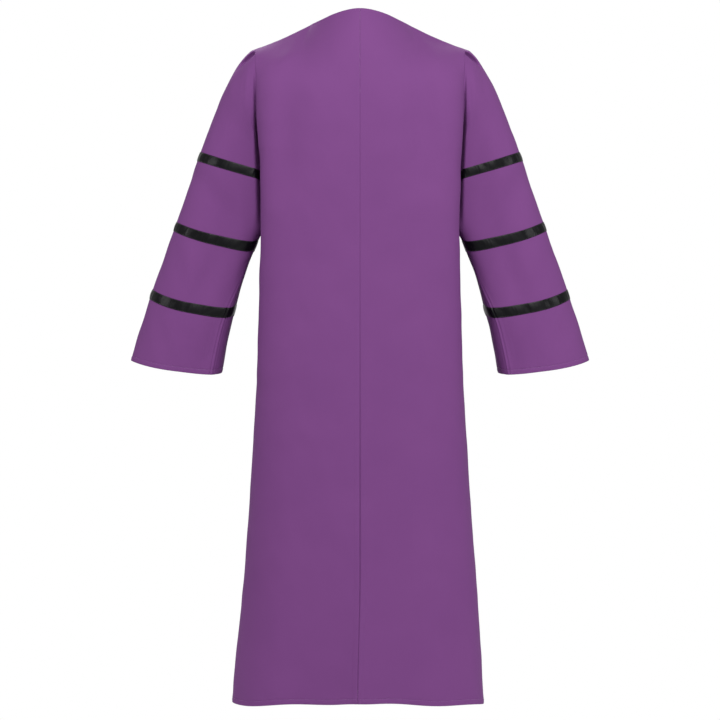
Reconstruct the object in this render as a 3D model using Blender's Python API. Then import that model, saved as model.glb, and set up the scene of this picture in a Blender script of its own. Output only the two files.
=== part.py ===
"""Clergy robe, worn and hollow, as separate cloth walls in metres.

+Z is up, the front faces -Y and +X is the wearer's left. The origin lies on the centre line, level with
the side-neck points and between the shoulder seams that the wearer carries the robe by.
"""

import math
from collections import namedtuple

import bpy
import numpy as np

# Cloth and seams
WALL = 0.0015
RIBBON_WALL = 0.0010
SEAM_GAP = 0.0003
RIBBON_GAP = 0.0003

# Neckline and shoulders
NECK_HALF = 0.093
NECK_SIDE_Y = -0.004
BACK_NECK_Y = 0.0718
BACK_NECK_ROUND = 1.6
BACK_NECK_RISE = 0.0235
BACK_NECK_BEND = 1.4
V_NECK_Y = -0.104
V_NECK_DROP = 0.128
V_NECK_BEND = 1.15
SHOULDER_HALF = 0.203
SHOULDER_TIP_Y = -0.010
SHOULDER_DROP = 0.0475
SHOULDER_HOLLOW = 0.0026

# Armhole and hem
UNDERARM_Z = -0.250
HEM_Z = -1.3045
HEM_DIP = 0.009
HEM_DIPS_FROM_Z = -1.000

# Where the arm presses the side in: the middle of the press, its flat half and its whole half
PRESS_Y = -0.012
PRESS_FLAT = 0.030
PRESS_HALF = 0.078

# Front lap, skirt and the soft ridge of the centre-back seam
LAP_HALF = 0.0140
LAP_LIFT = WALL + 0.0009
LAP_FLAT_TO = 0.018
LAP_FADE_TO = 0.040
SKIRT_SWAY = 0.0045
SWAY_FROM_Z = -1.050
RIDGE_DEPTH = 0.013
RIDGE_SPREAD = {"back_left": 0.042, "back_right": 0.080}
RIDGE_FROM_Z = -0.900

# Plan sections of the body: half_width is the widest half, side_half the half where the arm presses
Section = namedtuple("Section", "height half_width side_half back front squareness")
BODY_SECTIONS = (
    Section(-0.050, 0.2040, 0.2040, 0.100, 0.082, 3.6),
    Section(-0.150, 0.2000, 0.1880, 0.118, 0.106, 4.6),
    Section(-0.200, 0.1985, 0.1760, 0.121, 0.120, 5.0),
    Section(-0.250, 0.1960, 0.1680, 0.121, 0.130, 5.2),
    Section(-0.300, 0.1935, 0.1650, 0.119, 0.134, 5.2),
    Section(-0.360, 0.1920, 0.1650, 0.118, 0.134, 5.0),
    Section(-0.420, 0.1915, 0.1720, 0.117, 0.132, 4.6),
    Section(-0.480, 0.1930, 0.1810, 0.117, 0.131, 4.3),
    Section(-0.560, 0.1953, 0.1900, 0.118, 0.131, 4.0),
    Section(-0.652, 0.1980, 0.1970, 0.120, 0.131, 3.7),
    Section(-0.807, 0.2066, 0.2066, 0.124, 0.133, 3.4),
    Section(-0.962, 0.2163, 0.2163, 0.129, 0.137, 3.3),
    Section(-1.117, 0.2280, 0.2280, 0.134, 0.142, 3.3),
    Section(-1.230, 0.2375, 0.2375, 0.138, 0.146, 3.4),
    Section(-1.3045, 0.2425, 0.2425, 0.141, 0.149, 3.6),
)

# The yoke runs from the top edge to its foot. Shares count along a panel from the centre line: where the
# armhole's edge meets the foot, and where neckline turns to shoulder seam. Falls are in degrees below level,
# and reach is how far the cloth holds its way at either end, as a share of the yoke's height.
# At the side of the neck the cloth leaves its edge turned outwards, by neck_lean degrees.
Yoke = namedtuple(
    "Yoke", "foot_z armhole_share neck_share centre_fall neck_fall tip_fall reach neck_lean"
)
YOKES = {
    "back": Yoke(-0.150, 0.77, 0.42, 60.0, 44.0, 14.0, 0.42, 38.0),
    "front": Yoke(-0.185, 0.80, 0.36, 78.0, 52.0, 14.0, 0.40, 14.0),
}
FACING = {"back": 1.0, "front": -1.0}
SLOPE_STEP = 0.004
NECK_LEAN_SPREAD = 0.30

# Soft folds of the skirt: share runs from the centre line (0) to the side seam (1)
Fold = namedtuple("Fold", "panel share from_z depth width")
FOLDS = (
    Fold("back_left", 0.50, -0.75, 0.004, 0.12),
    Fold("back_left", 0.72, -0.85, -0.003, 0.08),
    Fold("back_right", 0.42, -0.70, 0.005, 0.14),
    Fold("back_right", 0.66, -0.80, -0.004, 0.09),
    Fold("front_left", 0.30, -0.60, -0.004, 0.10),
    Fold("front_left", 0.55, -0.55, 0.006, 0.12),
    Fold("front_right", 0.34, -0.65, -0.004, 0.10),
    Fold("front_right", 0.60, -0.50, 0.006, 0.12),
)

# Rings of the sleeve below its head: outer and inner are its edges seen from behind. Each ribbon bar lies
# between two of them.
Ring = namedtuple("Ring", "outer_x outer_z inner_x inner_z half_depth centre_y sag")
SLEEVE_RINGS = (
    Ring(0.2793, -0.1680, 0.1770, -0.2800, 0.057, -0.008, 0.002),
    Ring(0.2972, -0.2140, 0.1765, -0.2850, 0.056, -0.009, 0.002),
    Ring(0.3093, -0.2485, 0.1760, -0.2880, 0.056, -0.010, 0.003),
    Ring(0.3160, -0.2660, 0.1755, -0.3060, 0.056, -0.010, 0.003),
    Ring(0.3280, -0.3025, 0.1740, -0.3370, 0.056, -0.012, 0.004),
    Ring(0.3420, -0.3430, 0.1745, -0.3740, 0.057, -0.015, 0.006),
    Ring(0.3560, -0.3837, 0.1990, -0.4180, 0.058, -0.018, 0.010),
    Ring(0.3622, -0.4010, 0.2070, -0.4377, 0.058, -0.019, 0.010),
    Ring(0.3820, -0.4550, 0.2260, -0.4890, 0.060, -0.022, 0.012),
    Ring(0.4028, -0.5147, 0.2412, -0.5424, 0.063, -0.025, 0.014),
    Ring(0.4091, -0.5327, 0.2465, -0.5624, 0.064, -0.026, 0.014),
    Ring(0.4285, -0.5920, 0.2588, -0.6180, 0.067, -0.030, 0.012),
    Ring(0.4464, -0.6526, 0.2700, -0.6750, 0.070, -0.034, 0.010),
)
SLEEVE_SQUARENESS = 2.3
BAR_RINGS = ((2, 3), (6, 7), (9, 10))

# How the sleeve leaves its armhole: the way at four places round it, and how far it holds that way
Leave = namedtuple("Leave", "out back down reach")
CREST_LEAVE = Leave(0.81, 0.00, 0.58, 0.33)
BEHIND_LEAVE = Leave(0.80, 0.10, 0.60, 0.40)
PIT_LEAVE = Leave(0.80, 0.00, 0.60, 0.30)
BEFORE_LEAVE = Leave(0.80, -0.10, 0.60, 0.40)
HEAD_ARRIVES = 0.36

# The two crown pleats: one behind and one before the crest of the sleeve head
PLEAT_OFF_CREST = 0.020
PLEAT_DRIFT = -0.0035
PLEAT_DEPTH = 0.0060
PLEAT_WIDTH = 0.0065
CREST_PUFF = 0.0020
PLEAT_STARTS = 0.006
PLEAT_FULL_TO = 0.012
PLEAT_ENDS = 0.060

# Grids: shares run across a panel, rows down it, and columns round a sleeve from its crest
BACK_SHARES = (0.0, 0.10, 0.21, 0.32, 0.42, 0.53, 0.64, 0.74, 0.82, 0.89, 0.95, 1.0)
FRONT_SHARES = (-1.0, 0.0, 0.055, 0.125, 0.24, 0.36, 0.48, 0.60, 0.71, 0.80, 0.88, 0.95, 1.0)
HEAD_ROWS = (0.0, 0.05, 0.11, 0.19, 0.30, 0.44, 0.60, 0.78)
YOKE_ROWS = 7
ARMHOLE_ROWS = 6
SKIRT_HEIGHTS = (
    -0.272, -0.300, -0.335, -0.375, -0.415, -0.460, -0.530,
    -0.620, -0.720, -0.830, -0.940, -1.050, -1.150, -1.235, HEM_Z,
)
# The sleeve's rows below its head, counted in rings
SLEEVE_ROWS = (0, 0.5, 1, 2, 3, 4, 4.6, 5, 5.5, 6, 7, 8, 9, 10, 11, 12)
CREST_COLUMNS = (0.018, 0.032, 0.046, 0.060, 0.076, 0.096)
LEAST_COLUMN = 0.006
PRESS_ROUNDS = 8
DENSE = 240

CLOTH_PURPLE = (0.205, 0.068, 0.245, 1.0)
CLOTH_ROUGHNESS = 0.6
RIBBON_BLACK = (0.010, 0.010, 0.012, 1.0)
RIBBON_ROUGHNESS = 0.3


def smooth(knots, values, at):
    """The cubic curve through the values at the knots, read at one place or several."""
    knots, values = np.asarray(knots, float), np.asarray(values, float)
    at = np.atleast_1d(np.asarray(at, float))
    wide = (-1,) + (1,) * (values.ndim - 1)
    gaps = np.diff(knots)
    rates = np.diff(values, axis=0) / gaps.reshape(wide)
    before, after = gaps[:-1].reshape(wide), gaps[1:].reshape(wide)
    inner = (after * rates[:-1] + before * rates[1:]) / (before + after)
    slopes = np.concatenate([rates[:1], inner, rates[-1:]])
    span = np.clip(np.searchsorted(knots, at, side="right") - 1, 0, len(gaps) - 1)
    gap = gaps[span].reshape(wide)
    t = ((at - knots[span]) / gaps[span]).reshape(wide)
    return (
        (2 * t**3 - 3 * t**2 + 1) * values[span]
        + (t**3 - 2 * t**2 + t) * gap * slopes[span]
        + (3 * t**2 - 2 * t**3) * values[span + 1]
        + (t**3 - t**2) * gap * slopes[span + 1]
    )


def ease(t):
    """0 below 0, 1 above 1, and a smooth step between."""
    t = np.clip(t, 0.0, 1.0)
    return t * t * (3 - 2 * t)


def unit(vectors):
    """Vectors of length one."""
    return vectors / np.maximum(np.linalg.norm(vectors, axis=-1, keepdims=True), 1e-12)


def lengths_along(points):
    """The length along a run of points, up to each of them."""
    return np.concatenate([[0.0], np.cumsum(np.linalg.norm(np.diff(points, axis=0), axis=1))])


def read_along(shares, values, columns):
    """Values given at some shares of a run, read at other shares of it."""
    return np.stack([np.interp(columns, shares, values[:, axis]) for axis in range(3)], axis=1)


def curve_rows(first, second, third, last, shares):
    """Rows of points along the curves that run from the first row to the last, steered by the two between."""
    return [
        (1 - t) ** 3 * first + 3 * (1 - t) ** 2 * t * second + 3 * (1 - t) * t**2 * third + t**3 * last
        for t in shares
    ]


def section(height):
    """The body's section values at a height."""
    table = np.array(BODY_SECTIONS)[::-1]
    return Section(height, *smooth(table[:, 0], table[:, 1:], height)[0])


def body_row(height, shares, side):
    """Points of a quarter of the body at a height, by share of its length from the centre line."""
    at = section(height)
    depth = at.back if side == "back" else at.front
    angle = np.linspace(0.0, math.pi / 2, DENSE)
    y = FACING[side] * depth * np.maximum(np.cos(angle), 0.0) ** (2 / at.squareness)
    press = 1 - ease((np.abs(y - PRESS_Y) - PRESS_FLAT) / (PRESS_HALF - PRESS_FLAT))
    across = at.half_width * np.sin(angle) ** (2 / at.squareness)
    stretch = 1.0
    for _ in range(PRESS_ROUNDS):
        x = stretch * across - (stretch * at.half_width - at.side_half) * press
        stretch *= at.half_width / x.max()
    along = lengths_along(np.stack([x, y], axis=1))
    shares = np.asarray(shares, float)
    reach = np.clip(shares, 0.0, 1.0) * along[-1]
    lap = np.minimum(shares, 0.0) * LAP_HALF
    row_x = np.interp(reach, along, x) + lap
    return np.stack([row_x, np.interp(reach, along, y), np.full(len(shares), height)], axis=1)


def top_edge(shares, side):
    """Neckline, then shoulder seam, by share of the panel's top edge from the centre line."""
    neck_share = YOKES[side].neck_share
    points = []
    for share in shares:
        round_neck = share / neck_share if share > 0 else share * LAP_HALF / NECK_HALF
        if round_neck > 1:
            out = (share - neck_share) / (1 - neck_share)
            x = NECK_HALF + (SHOULDER_HALF - NECK_HALF) * out
            y = NECK_SIDE_Y + (SHOULDER_TIP_Y - NECK_SIDE_Y) * out
            z = -SHOULDER_DROP * out - SHOULDER_HOLLOW * 4 * out * (1 - out)
        elif side == "back":
            turn = round_neck * math.pi / 2
            x = NECK_HALF * math.sin(turn)
            y = NECK_SIDE_Y + (BACK_NECK_Y - NECK_SIDE_Y) * math.cos(turn) ** BACK_NECK_ROUND
            z = BACK_NECK_RISE * (1 - (x / NECK_HALF) ** 2) ** BACK_NECK_BEND
        else:
            x = NECK_HALF * round_neck
            y = NECK_SIDE_Y + (V_NECK_Y - NECK_SIDE_Y) * (1 - round_neck**2)
            z = -V_NECK_DROP * (1 - round_neck) ** V_NECK_BEND
        points.append((x, y, z))
    return np.array(points)


def armhole_share(height, side):
    """The share of the quarter at which the armhole's edge lies at a height."""
    yoke = YOKES[side]
    down = np.clip((yoke.foot_z - height) / (yoke.foot_z - UNDERARM_Z), 0.0, 1.0)
    return 1 - (1 - yoke.armhole_share) * math.sqrt(1 - down**2)


def gathered(shares, last):
    """Shares drawn in so that the last one lies at the armhole's edge; the first ones hardly move."""
    return shares - (1 - last) * np.maximum(shares, 0.0) ** 3


def yoke_rows(shares, side):
    """Rows from the neckline and shoulder seam, over the shoulder, to the foot of the yoke."""
    yoke = YOKES[side]
    on_body = gathered(shares, yoke.armhole_share)
    top = top_edge(shares, side)
    foot = body_row(yoke.foot_z, on_body, side)
    above, below = yoke.foot_z + SLOPE_STEP, yoke.foot_z - SLOPE_STEP
    rise = unit(body_row(above, on_body, side) - body_row(below, on_body, side))
    falls = [yoke.centre_fall, yoke.centre_fall, yoke.neck_fall, yoke.tip_fall]
    fall = np.radians(smooth([-0.4, 0.0, yoke.neck_share, 1.0], falls, shares))
    spread = np.where(shares < yoke.neck_share, yoke.neck_share, NECK_LEAN_SPREAD)
    lean = math.radians(yoke.neck_lean) * (1 - ease(np.abs(shares - yoke.neck_share) / spread))
    level = np.stack([np.sin(lean), FACING[side] * np.cos(lean), 0 * lean], axis=1)
    leave = level * np.cos(fall)[:, None] - np.sin(fall)[:, None] * (0.0, 0.0, 1.0)
    reach = np.linalg.norm(foot - top, axis=1, keepdims=True) * yoke.reach
    shares_down = np.linspace(0.0, 1.0, YOKE_ROWS + 1)
    return curve_rows(top, top + leave * reach, foot + rise * reach, foot, shares_down)


def panel_points(side, shares):
    """The outer face of a left panel, as rows of points from the centre line to its outer edge."""
    yoke = YOKES[side]
    shares = np.asarray(shares, float)
    rows = yoke_rows(shares, side)
    turns = np.linspace(0.0, math.pi / 2, ARMHOLE_ROWS + 1)[1:]
    heights = [yoke.foot_z + (UNDERARM_Z - yoke.foot_z) * math.sin(turn) for turn in turns]
    for height in [*heights, *SKIRT_HEIGHTS]:
        row = body_row(height, gathered(shares, armhole_share(height, side)), side)
        dip = ease((HEM_DIPS_FROM_Z - height) / (HEM_DIPS_FROM_Z - HEM_Z))
        row[:, 2] -= HEM_DIP * dip * ease(shares)
        rows.append(row)
    return np.array(rows)


def normals_of(points, closed=False):
    """Unit normals of a grid, turned by its rows running down and its columns running on."""
    if closed:
        across = np.roll(points, -1, axis=1) - np.roll(points, 1, axis=1)
    else:
        across = np.gradient(points, axis=1)
    down = np.gradient(points, axis=0)
    return unit(np.cross(down, across))


def fold_out(name, points, shares):
    """How far each point of a panel stands out with the skirt's folds and the centre-back ridge."""
    height = points[:, :, 2]
    shares = np.asarray(shares, float)[None, :]
    out = np.zeros(height.shape)
    for fold in FOLDS:
        if fold.panel == name:
            bell = np.exp(-(((shares - fold.share) / fold.width) ** 2))
            out += fold.depth * bell * ease((fold.from_z - height) / (fold.from_z - HEM_Z))
    if name.startswith("back"):
        fade = ease((RIDGE_FROM_Z - height) / (RIDGE_FROM_Z - HEM_Z))
        out += RIDGE_DEPTH * np.exp(-np.abs(points[:, :, 0]) / RIDGE_SPREAD[name]) * fade
    return out


def body_panel(name):
    """Outer points and normals of one panel, still on the wearer's left."""
    side = name.split("_")[0]
    shares = BACK_SHARES if side == "back" else FRONT_SHARES
    points = panel_points(side, shares)
    if side == "front":
        beside = points[::-1, 2]
        points[:, 0, 1] = np.interp(points[:, 0, 2], beside[:, 2], beside[:, 1])
    turned = normals_of(points) * -FACING[side]
    points = points + turned * fold_out(name, points, shares)[:, :, None]
    if name == "front_right":
        x = points[:, :, 0]
        lift = LAP_LIFT * ease((LAP_FADE_TO - x) / (LAP_FADE_TO - LAP_FLAT_TO))
        points = points + turned * lift[:, :, None]
    turned = normals_of(points) * -FACING[side]
    if side == "back":
        turned[:, 0, 0] = 0.0
        points[:, 0, 0] = SEAM_GAP / 2
    return points, unit(turned)


def part_seams(back, front):
    """Gives the two panels one normal where they meet, and half the seam gap each."""
    (back_points, back_normals), (front_points, front_normals) = back, front
    first_below = YOKE_ROWS + ARMHOLE_ROWS
    neck_back = BACK_SHARES.index(YOKES["back"].neck_share)
    neck_front = FRONT_SHARES.index(YOKES["front"].neck_share)
    for row in range(first_below, len(back_points)):
        shared = unit(back_normals[row, -1] + front_normals[row, -1])
        back_normals[row, -1] = front_normals[row, -1] = shared
        back_points[row, -1, 1] += SEAM_GAP / 2
        front_points[row, -1, 1] -= SEAM_GAP / 2
    for points, normals, first, way in (
        (back_points, back_normals, neck_back, 1),
        (front_points, front_normals, neck_front, -1),
    ):
        normals[0, first:, 1] = 0.0
        normals[0, first:, 0] = np.maximum(normals[0, first:, 0], 0.0)
        normals[0, first:] = unit(normals[0, first:])
        points[0, first:, 1] += way * SEAM_GAP / 2
    shared = unit(back_normals[0, -1] + front_normals[0, -1])
    back_normals[0, -1] = front_normals[0, -1] = shared


def armhole_rows(grids):
    """The edge values round an armhole, from the crest behind and round to the crest again."""
    last = YOKE_ROWS + ARMHOLE_ROWS + 1
    behind, before = grids[0][:last, -1], grids[1][:last, -1][::-1]
    crest, pit = (behind[:1] + before[-1:]) / 2, (behind[-1:] + before[:1]) / 2
    return np.concatenate([crest, behind[1:-1], pit, before[1:-1], crest])


def girth_shares(points):
    """Each armhole point's share of the sleeve's girth: crest 0, pit a half, crest again 1."""
    pit = YOKE_ROWS + ARMHOLE_ROWS
    shares = []
    for run in (points[: pit + 1], points[pit:]):
        along = lengths_along(run)
        shares.append(along / along[-1] / 2)
    return np.concatenate([shares[0], 0.5 + shares[1][1:]])


def sleeve_columns(shares):
    """The armhole's own columns, and closer ones at the crest for the pleats."""
    extra = [share for near in CREST_COLUMNS for share in (near, 1 - near)]
    kept = [share for share in extra if np.abs(shares - share).min() > LEAST_COLUMN]
    return np.array(sorted([*shares[:-1], *kept]))


def sleeve_ring(ring, columns):
    """Points of one ring of the sleeve, by share of its girth from the crest, going behind first."""
    angle = np.linspace(0.0, 2 * math.pi, 2 * DENSE + 1)
    power = 2 / SLEEVE_SQUARENESS
    over = np.sign(np.cos(angle)) * np.abs(np.cos(angle)) ** power
    behind = np.sign(np.sin(angle)) * np.abs(np.sin(angle)) ** power
    outer = np.array([ring.outer_x, ring.centre_y, ring.outer_z])
    inner = np.array([ring.inner_x, ring.centre_y, ring.inner_z])
    dense = (outer + inner) / 2 + over[:, None] * (outer - inner) / 2
    dense[:, 1] += behind * ring.half_depth
    dense[:, 2] -= behind**2 * ring.sag
    along = lengths_along(dense)
    return read_along(along / along[-1], dense, columns)


def pleat_out(columns, girth, from_seam):
    """How far the sleeve stands out at a distance from the armhole seam, round the crown pleats."""
    off = np.minimum(columns, 1 - columns) * girth
    line = PLEAT_OFF_CREST + PLEAT_DRIFT * min(from_seam / PLEAT_ENDS, 1.0)
    groove = -PLEAT_DEPTH * np.exp(-(((off - line) / PLEAT_WIDTH) ** 2))
    crest = CREST_PUFF * np.exp(-((off / PLEAT_OFF_CREST) ** 2))
    fade = 1 - ease((from_seam - PLEAT_FULL_TO) / (PLEAT_ENDS - PLEAT_FULL_TO))
    return (groove + crest) * fade * ease(from_seam / PLEAT_STARTS)


def head_rows(columns, armhole, first, second):
    """Rows of the sleeve's head, from the armhole to just before the first ring."""
    turn = 2 * math.pi * columns
    weights = np.stack([np.cos(turn), np.sin(turn), -np.cos(turn), -np.sin(turn)], axis=1)
    weights = np.maximum(weights, 0.0) ** 2
    leaves = np.array([CREST_LEAVE, BEHIND_LEAVE, PIT_LEAVE, BEFORE_LEAVE]) * (1.0, 1.0, -1.0, 1.0)
    way = weights @ leaves
    span = np.linalg.norm(first - armhole, axis=1, keepdims=True)
    after = armhole + unit(way[:, :3]) * span * way[:, 3:]
    before = first - unit(second - first) * span * HEAD_ARRIVES
    return curve_rows(armhole, after, before, first, HEAD_ROWS)


def sleeve_points(columns, armhole):
    """The outer face of the left sleeve, as closed rows from the armhole to the cuff."""
    rings = np.array([sleeve_ring(ring, columns) for ring in SLEEVE_RINGS])
    steps = np.linalg.norm(np.diff(rings, axis=0), axis=2).mean(axis=1)
    knots = np.concatenate([[0.0], np.cumsum(steps)])
    below = smooth(knots, rings, np.interp(SLEEVE_ROWS, np.arange(len(knots)), knots))
    points = np.concatenate([head_rows(columns, armhole, rings[0], below[1]), below])
    girths = [lengths_along(row)[-1] for row in points]
    out = [pleat_out(columns, girth, far) for girth, far in zip(girths, lengths_along(points[:, 0]))]
    return points + normals_of(points, closed=True) * np.array(out)[:, :, None]


def wall_mesh(name, outer, inner, closed=False, mirrored=False):
    """A closed wall between two grids of points; both faces are cut along the same diagonals."""
    rows, columns = outer.shape[:2]
    if mirrored:
        outer, inner = outer * (-1.0, 1.0, 1.0), inner * (-1.0, 1.0, 1.0)
    points = np.concatenate([outer.reshape(-1, 3), inner.reshape(-1, 3)])
    half = rows * columns
    around = columns if closed else columns - 1
    faces = []

    def at(row, column):
        """The index of an outer point."""
        return row * columns + column % columns

    def band(ends):
        """The edge of the wall along a run of outer points."""
        for a, b in zip(ends, ends[1:]):
            faces.extend([(b, a, a + half), (b, a + half, b + half)])

    for row in range(rows - 1):
        for column in range(around):
            a, b = at(row, column), at(row, column + 1)
            c, d = at(row + 1, column + 1), at(row + 1, column)
            faces.extend([(a, b, d), (b, c, d)])
            faces.extend([(a + half, d + half, b + half), (b + half, d + half, c + half)])
    band([at(0, column) for column in range(around + 1)])
    band([at(rows - 1, column) for column in range(around, -1, -1)])
    if not closed:
        band([at(row, 0) for row in range(rows - 1, -1, -1)])
        band([at(row, columns - 1) for row in range(rows)])
    across, down = outer[:-1, 1:] - outer[:-1, :-1], outer[1:, 1:] - outer[:-1, 1:]
    if (np.cross(across, down) * (outer - inner)[:-1, 1:]).sum() < 0:
        faces = [face[::-1] for face in faces]
    mesh = bpy.data.meshes.new(name)
    mesh.from_pydata([tuple(point) for point in points], [], faces)
    mesh.validate()
    return mesh


def cloth_material(name, colour, roughness):
    """A plain material of the piece's colour."""
    material = bpy.data.materials.new(name)
    material.use_nodes = True
    shader = material.node_tree.nodes["Principled BSDF"]
    shader.inputs["Base Color"].default_value = colour
    shader.inputs["Roughness"].default_value = roughness
    shader.inputs["Metallic"].default_value = 0.0
    return material


def place(name, outer, inner, material, closed=False, mirrored=False):
    """Builds a piece as a wall between two grids and links it."""
    mesh = wall_mesh(name, outer, inner, closed, mirrored)
    mesh.materials.append(material)
    bpy.context.scene.collection.objects.link(bpy.data.objects.new(name, mesh))


def swayed(points, mirrored):
    """Points of the skirt swung a little to the wearer's left."""
    way = -1.0 if mirrored else 1.0
    sway = SKIRT_SWAY * ease((SWAY_FROM_Z - points[..., 2]) / (SWAY_FROM_Z - HEM_Z))
    return points + sway[..., None] * (way, 0.0, 0.0)


def place_panel(name, points, turned, mirrored):
    """Places a body panel."""
    material = cloth_material(name, CLOTH_PURPLE, CLOTH_ROUGHNESS)
    outer, inner = swayed(points, mirrored), swayed(points - turned * WALL, mirrored)
    place(name, outer, inner, material, mirrored=mirrored)


def place_sleeve(half, points, turned, mirrored):
    """Places a sleeve and the three ribbon bars that lie round it."""
    name = f"sleeve_{half}"
    material = cloth_material(name, CLOTH_PURPLE, CLOTH_ROUGHNESS)
    place(name, points, points - turned * WALL, material, closed=True, mirrored=mirrored)
    for number, edges in enumerate(BAR_RINGS, start=1):
        picked = [len(HEAD_ROWS) + SLEEVE_ROWS.index(edge) for edge in edges]
        near = points[picked] + turned[picked] * RIBBON_GAP
        far = near + turned[picked] * RIBBON_WALL
        name = f"bar_{half}_{number}"
        material = cloth_material(name, RIBBON_BLACK, RIBBON_ROUGHNESS)
        place(name, far, near, material, closed=True, mirrored=mirrored)


def joined_sleeve(back, front):
    """The sleeve on its armhole; the armhole's edges and the sleeve's head take one normal between them."""
    edge = armhole_rows([back[0], front[0]])
    shares = girth_shares(edge)
    columns = sleeve_columns(shares)
    points = sleeve_points(columns, read_along(shares, edge, columns))
    turned = normals_of(points, closed=True)
    head = np.concatenate([turned[0], turned[0][:1]])
    head = read_along(np.append(columns, 1.0), head, shares)
    shared = unit(unit(armhole_rows([back[1], front[1]])) + head)
    pit = YOKE_ROWS + ARMHOLE_ROWS
    back[1][: pit + 1, -1] = shared[: pit + 1]
    front[1][: pit + 1, -1] = shared[pit:][::-1]
    turned[0] = unit(read_along(shares, shared, columns))
    around = np.roll(points[0], -1, axis=0) - np.roll(points[0], 1, axis=0)
    points[0] += unit(np.cross(around, turned[0])) * SEAM_GAP
    return points, turned


def main():
    """Builds every piece of the robe."""
    for old in list(bpy.data.objects):
        bpy.data.objects.remove(old)
    for half in ("left", "right"):
        mirrored = half == "right"
        back, front = body_panel(f"back_{half}"), body_panel(f"front_{half}")
        part_seams(back, front)
        sleeve = joined_sleeve(back, front)
        place_panel(f"back_{half}", *back, mirrored)
        place_panel(f"front_{half}", *front, mirrored)
        place_sleeve(half, *sleeve, mirrored)


main()
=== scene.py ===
"""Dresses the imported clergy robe: fine cloth walls, seams, turned hems, satin bars and stitching.

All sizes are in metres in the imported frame: +Z is up, the front faces -Y and +X is the wearer's
left. Shapes are worked out for the wearer's left and mirrored for the right.
"""

import logging
import math
from dataclasses import astuple, dataclass, field
from enum import Enum
from typing import ClassVar

import bpy
import numpy as np
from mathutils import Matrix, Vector


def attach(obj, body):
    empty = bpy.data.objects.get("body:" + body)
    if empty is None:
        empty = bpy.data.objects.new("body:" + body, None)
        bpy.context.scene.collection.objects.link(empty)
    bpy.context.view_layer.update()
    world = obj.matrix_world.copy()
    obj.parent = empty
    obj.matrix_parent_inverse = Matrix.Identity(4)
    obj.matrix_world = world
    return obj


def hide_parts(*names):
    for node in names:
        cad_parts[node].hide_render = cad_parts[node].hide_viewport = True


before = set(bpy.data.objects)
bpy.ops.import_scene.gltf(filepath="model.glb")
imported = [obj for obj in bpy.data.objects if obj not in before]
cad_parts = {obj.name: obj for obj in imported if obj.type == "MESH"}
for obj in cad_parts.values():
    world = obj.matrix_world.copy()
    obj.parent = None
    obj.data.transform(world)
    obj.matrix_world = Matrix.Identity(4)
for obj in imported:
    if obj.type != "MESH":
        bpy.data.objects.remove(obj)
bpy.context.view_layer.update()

LOG = logging.getLogger("clergy_robe")
BODY = "root"
GRAIN_MAP = "cloth_grain"
Array = np.ndarray
Socket = bpy.types.NodeSocket
Material = bpy.types.Material
Piece = bpy.types.Object
Pair = tuple[float, float]
Triple = tuple[float, float, float]


class Half(Enum):
    """The wearer's side that a piece is on."""

    LEFT = "left"
    RIGHT = "right"

    @property
    def way(self) -> float:
        """+1 towards the wearer's left, -1 towards the right."""
        return 1.0 if self is Half.LEFT else -1.0


class Side(Enum):
    """The side of the body that a panel covers."""

    BACK = "back"
    FRONT = "front"

    @property
    def facing(self) -> float:
        """The sign of the Y direction that the panel faces."""
        return 1.0 if self is Side.BACK else -1.0


class Slot(Enum):
    """The record's material slots."""

    CLOTH = "purple_cloth"
    RIBBON = "black_ribbon"


# ---- curves and distances


def ease(t: Array) -> Array:
    """0 below 0, 1 above 1, and a smooth step between."""
    t = np.clip(t, 0.0, 1.0)
    return t * t * (3 - 2 * t)


def bell(distance: Array, width: float) -> Array:
    """1 at no distance, and falling smoothly to nothing within about two widths."""
    return np.exp(-((distance / width) ** 2))


def unit(vectors: Array) -> Array:
    """Vectors of length one."""
    return vectors / np.maximum(np.linalg.norm(vectors, axis=-1, keepdims=True), 1e-12)


def lengths_along(points: Array) -> Array:
    """The length along a run of points, up to each of them."""
    return np.concatenate([[0.0], np.cumsum(np.linalg.norm(np.diff(points, axis=0), axis=1))])


def read_along(shares: Array, values: Array, wanted: Array) -> Array:
    """Reads values given at some shares of a run at other shares of it."""
    return np.stack([np.interp(wanted, shares, values[:, axis]) for axis in range(3)], axis=1)


def smooth_curve(knots: Array, values: Array, at: Array) -> Array:
    """Reads the cubic curve through the values at the knots.

    Args:
        knots: Rising places.
        values: One number, or array of numbers, for each knot.
        at: The places to read at.

    Returns:
        One value for each place.
    """
    knots, values = np.asarray(knots, float), np.asarray(values, float)
    at = np.atleast_1d(np.asarray(at, float))
    wide = (-1,) + (1,) * (values.ndim - 1)
    gaps = np.diff(knots)
    rates = np.diff(values, axis=0) / gaps.reshape(wide)
    before, after = gaps[:-1].reshape(wide), gaps[1:].reshape(wide)
    inner = (after * rates[:-1] + before * rates[1:]) / (before + after)
    slopes = np.concatenate([rates[:1], inner, rates[-1:]])
    span = np.clip(np.searchsorted(knots, at, side="right") - 1, 0, len(gaps) - 1)
    gap = gaps[span].reshape(wide)
    t = ((at - knots[span]) / gaps[span]).reshape(wide)
    return (
        (2 * t**3 - 3 * t**2 + 1) * values[span]
        + (t**3 - 2 * t**2 + t) * gap * slopes[span]
        + (3 * t**2 - 2 * t**3) * values[span + 1]
        + (t**3 - t**2) * gap * slopes[span + 1]
    )


def curve_rows(
    first: Array, second: Array, third: Array, last: Array, shares: Array
) -> list[Array]:
    """Rows of points along the curves between two rows of points.

    Args:
        first: The row at share 0.
        second: The row that steers the curves as they leave the first.
        third: The row that steers them as they reach the last.
        last: The row at share 1.
        shares: The shares to make rows at.

    Returns:
        One row of points for each share.
    """
    return [
        (1 - t) ** 3 * first
        + 3 * (1 - t) ** 2 * t * second
        + 3 * (1 - t) * t**2 * third
        + t**3 * last
        for t in shares
    ]


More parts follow.
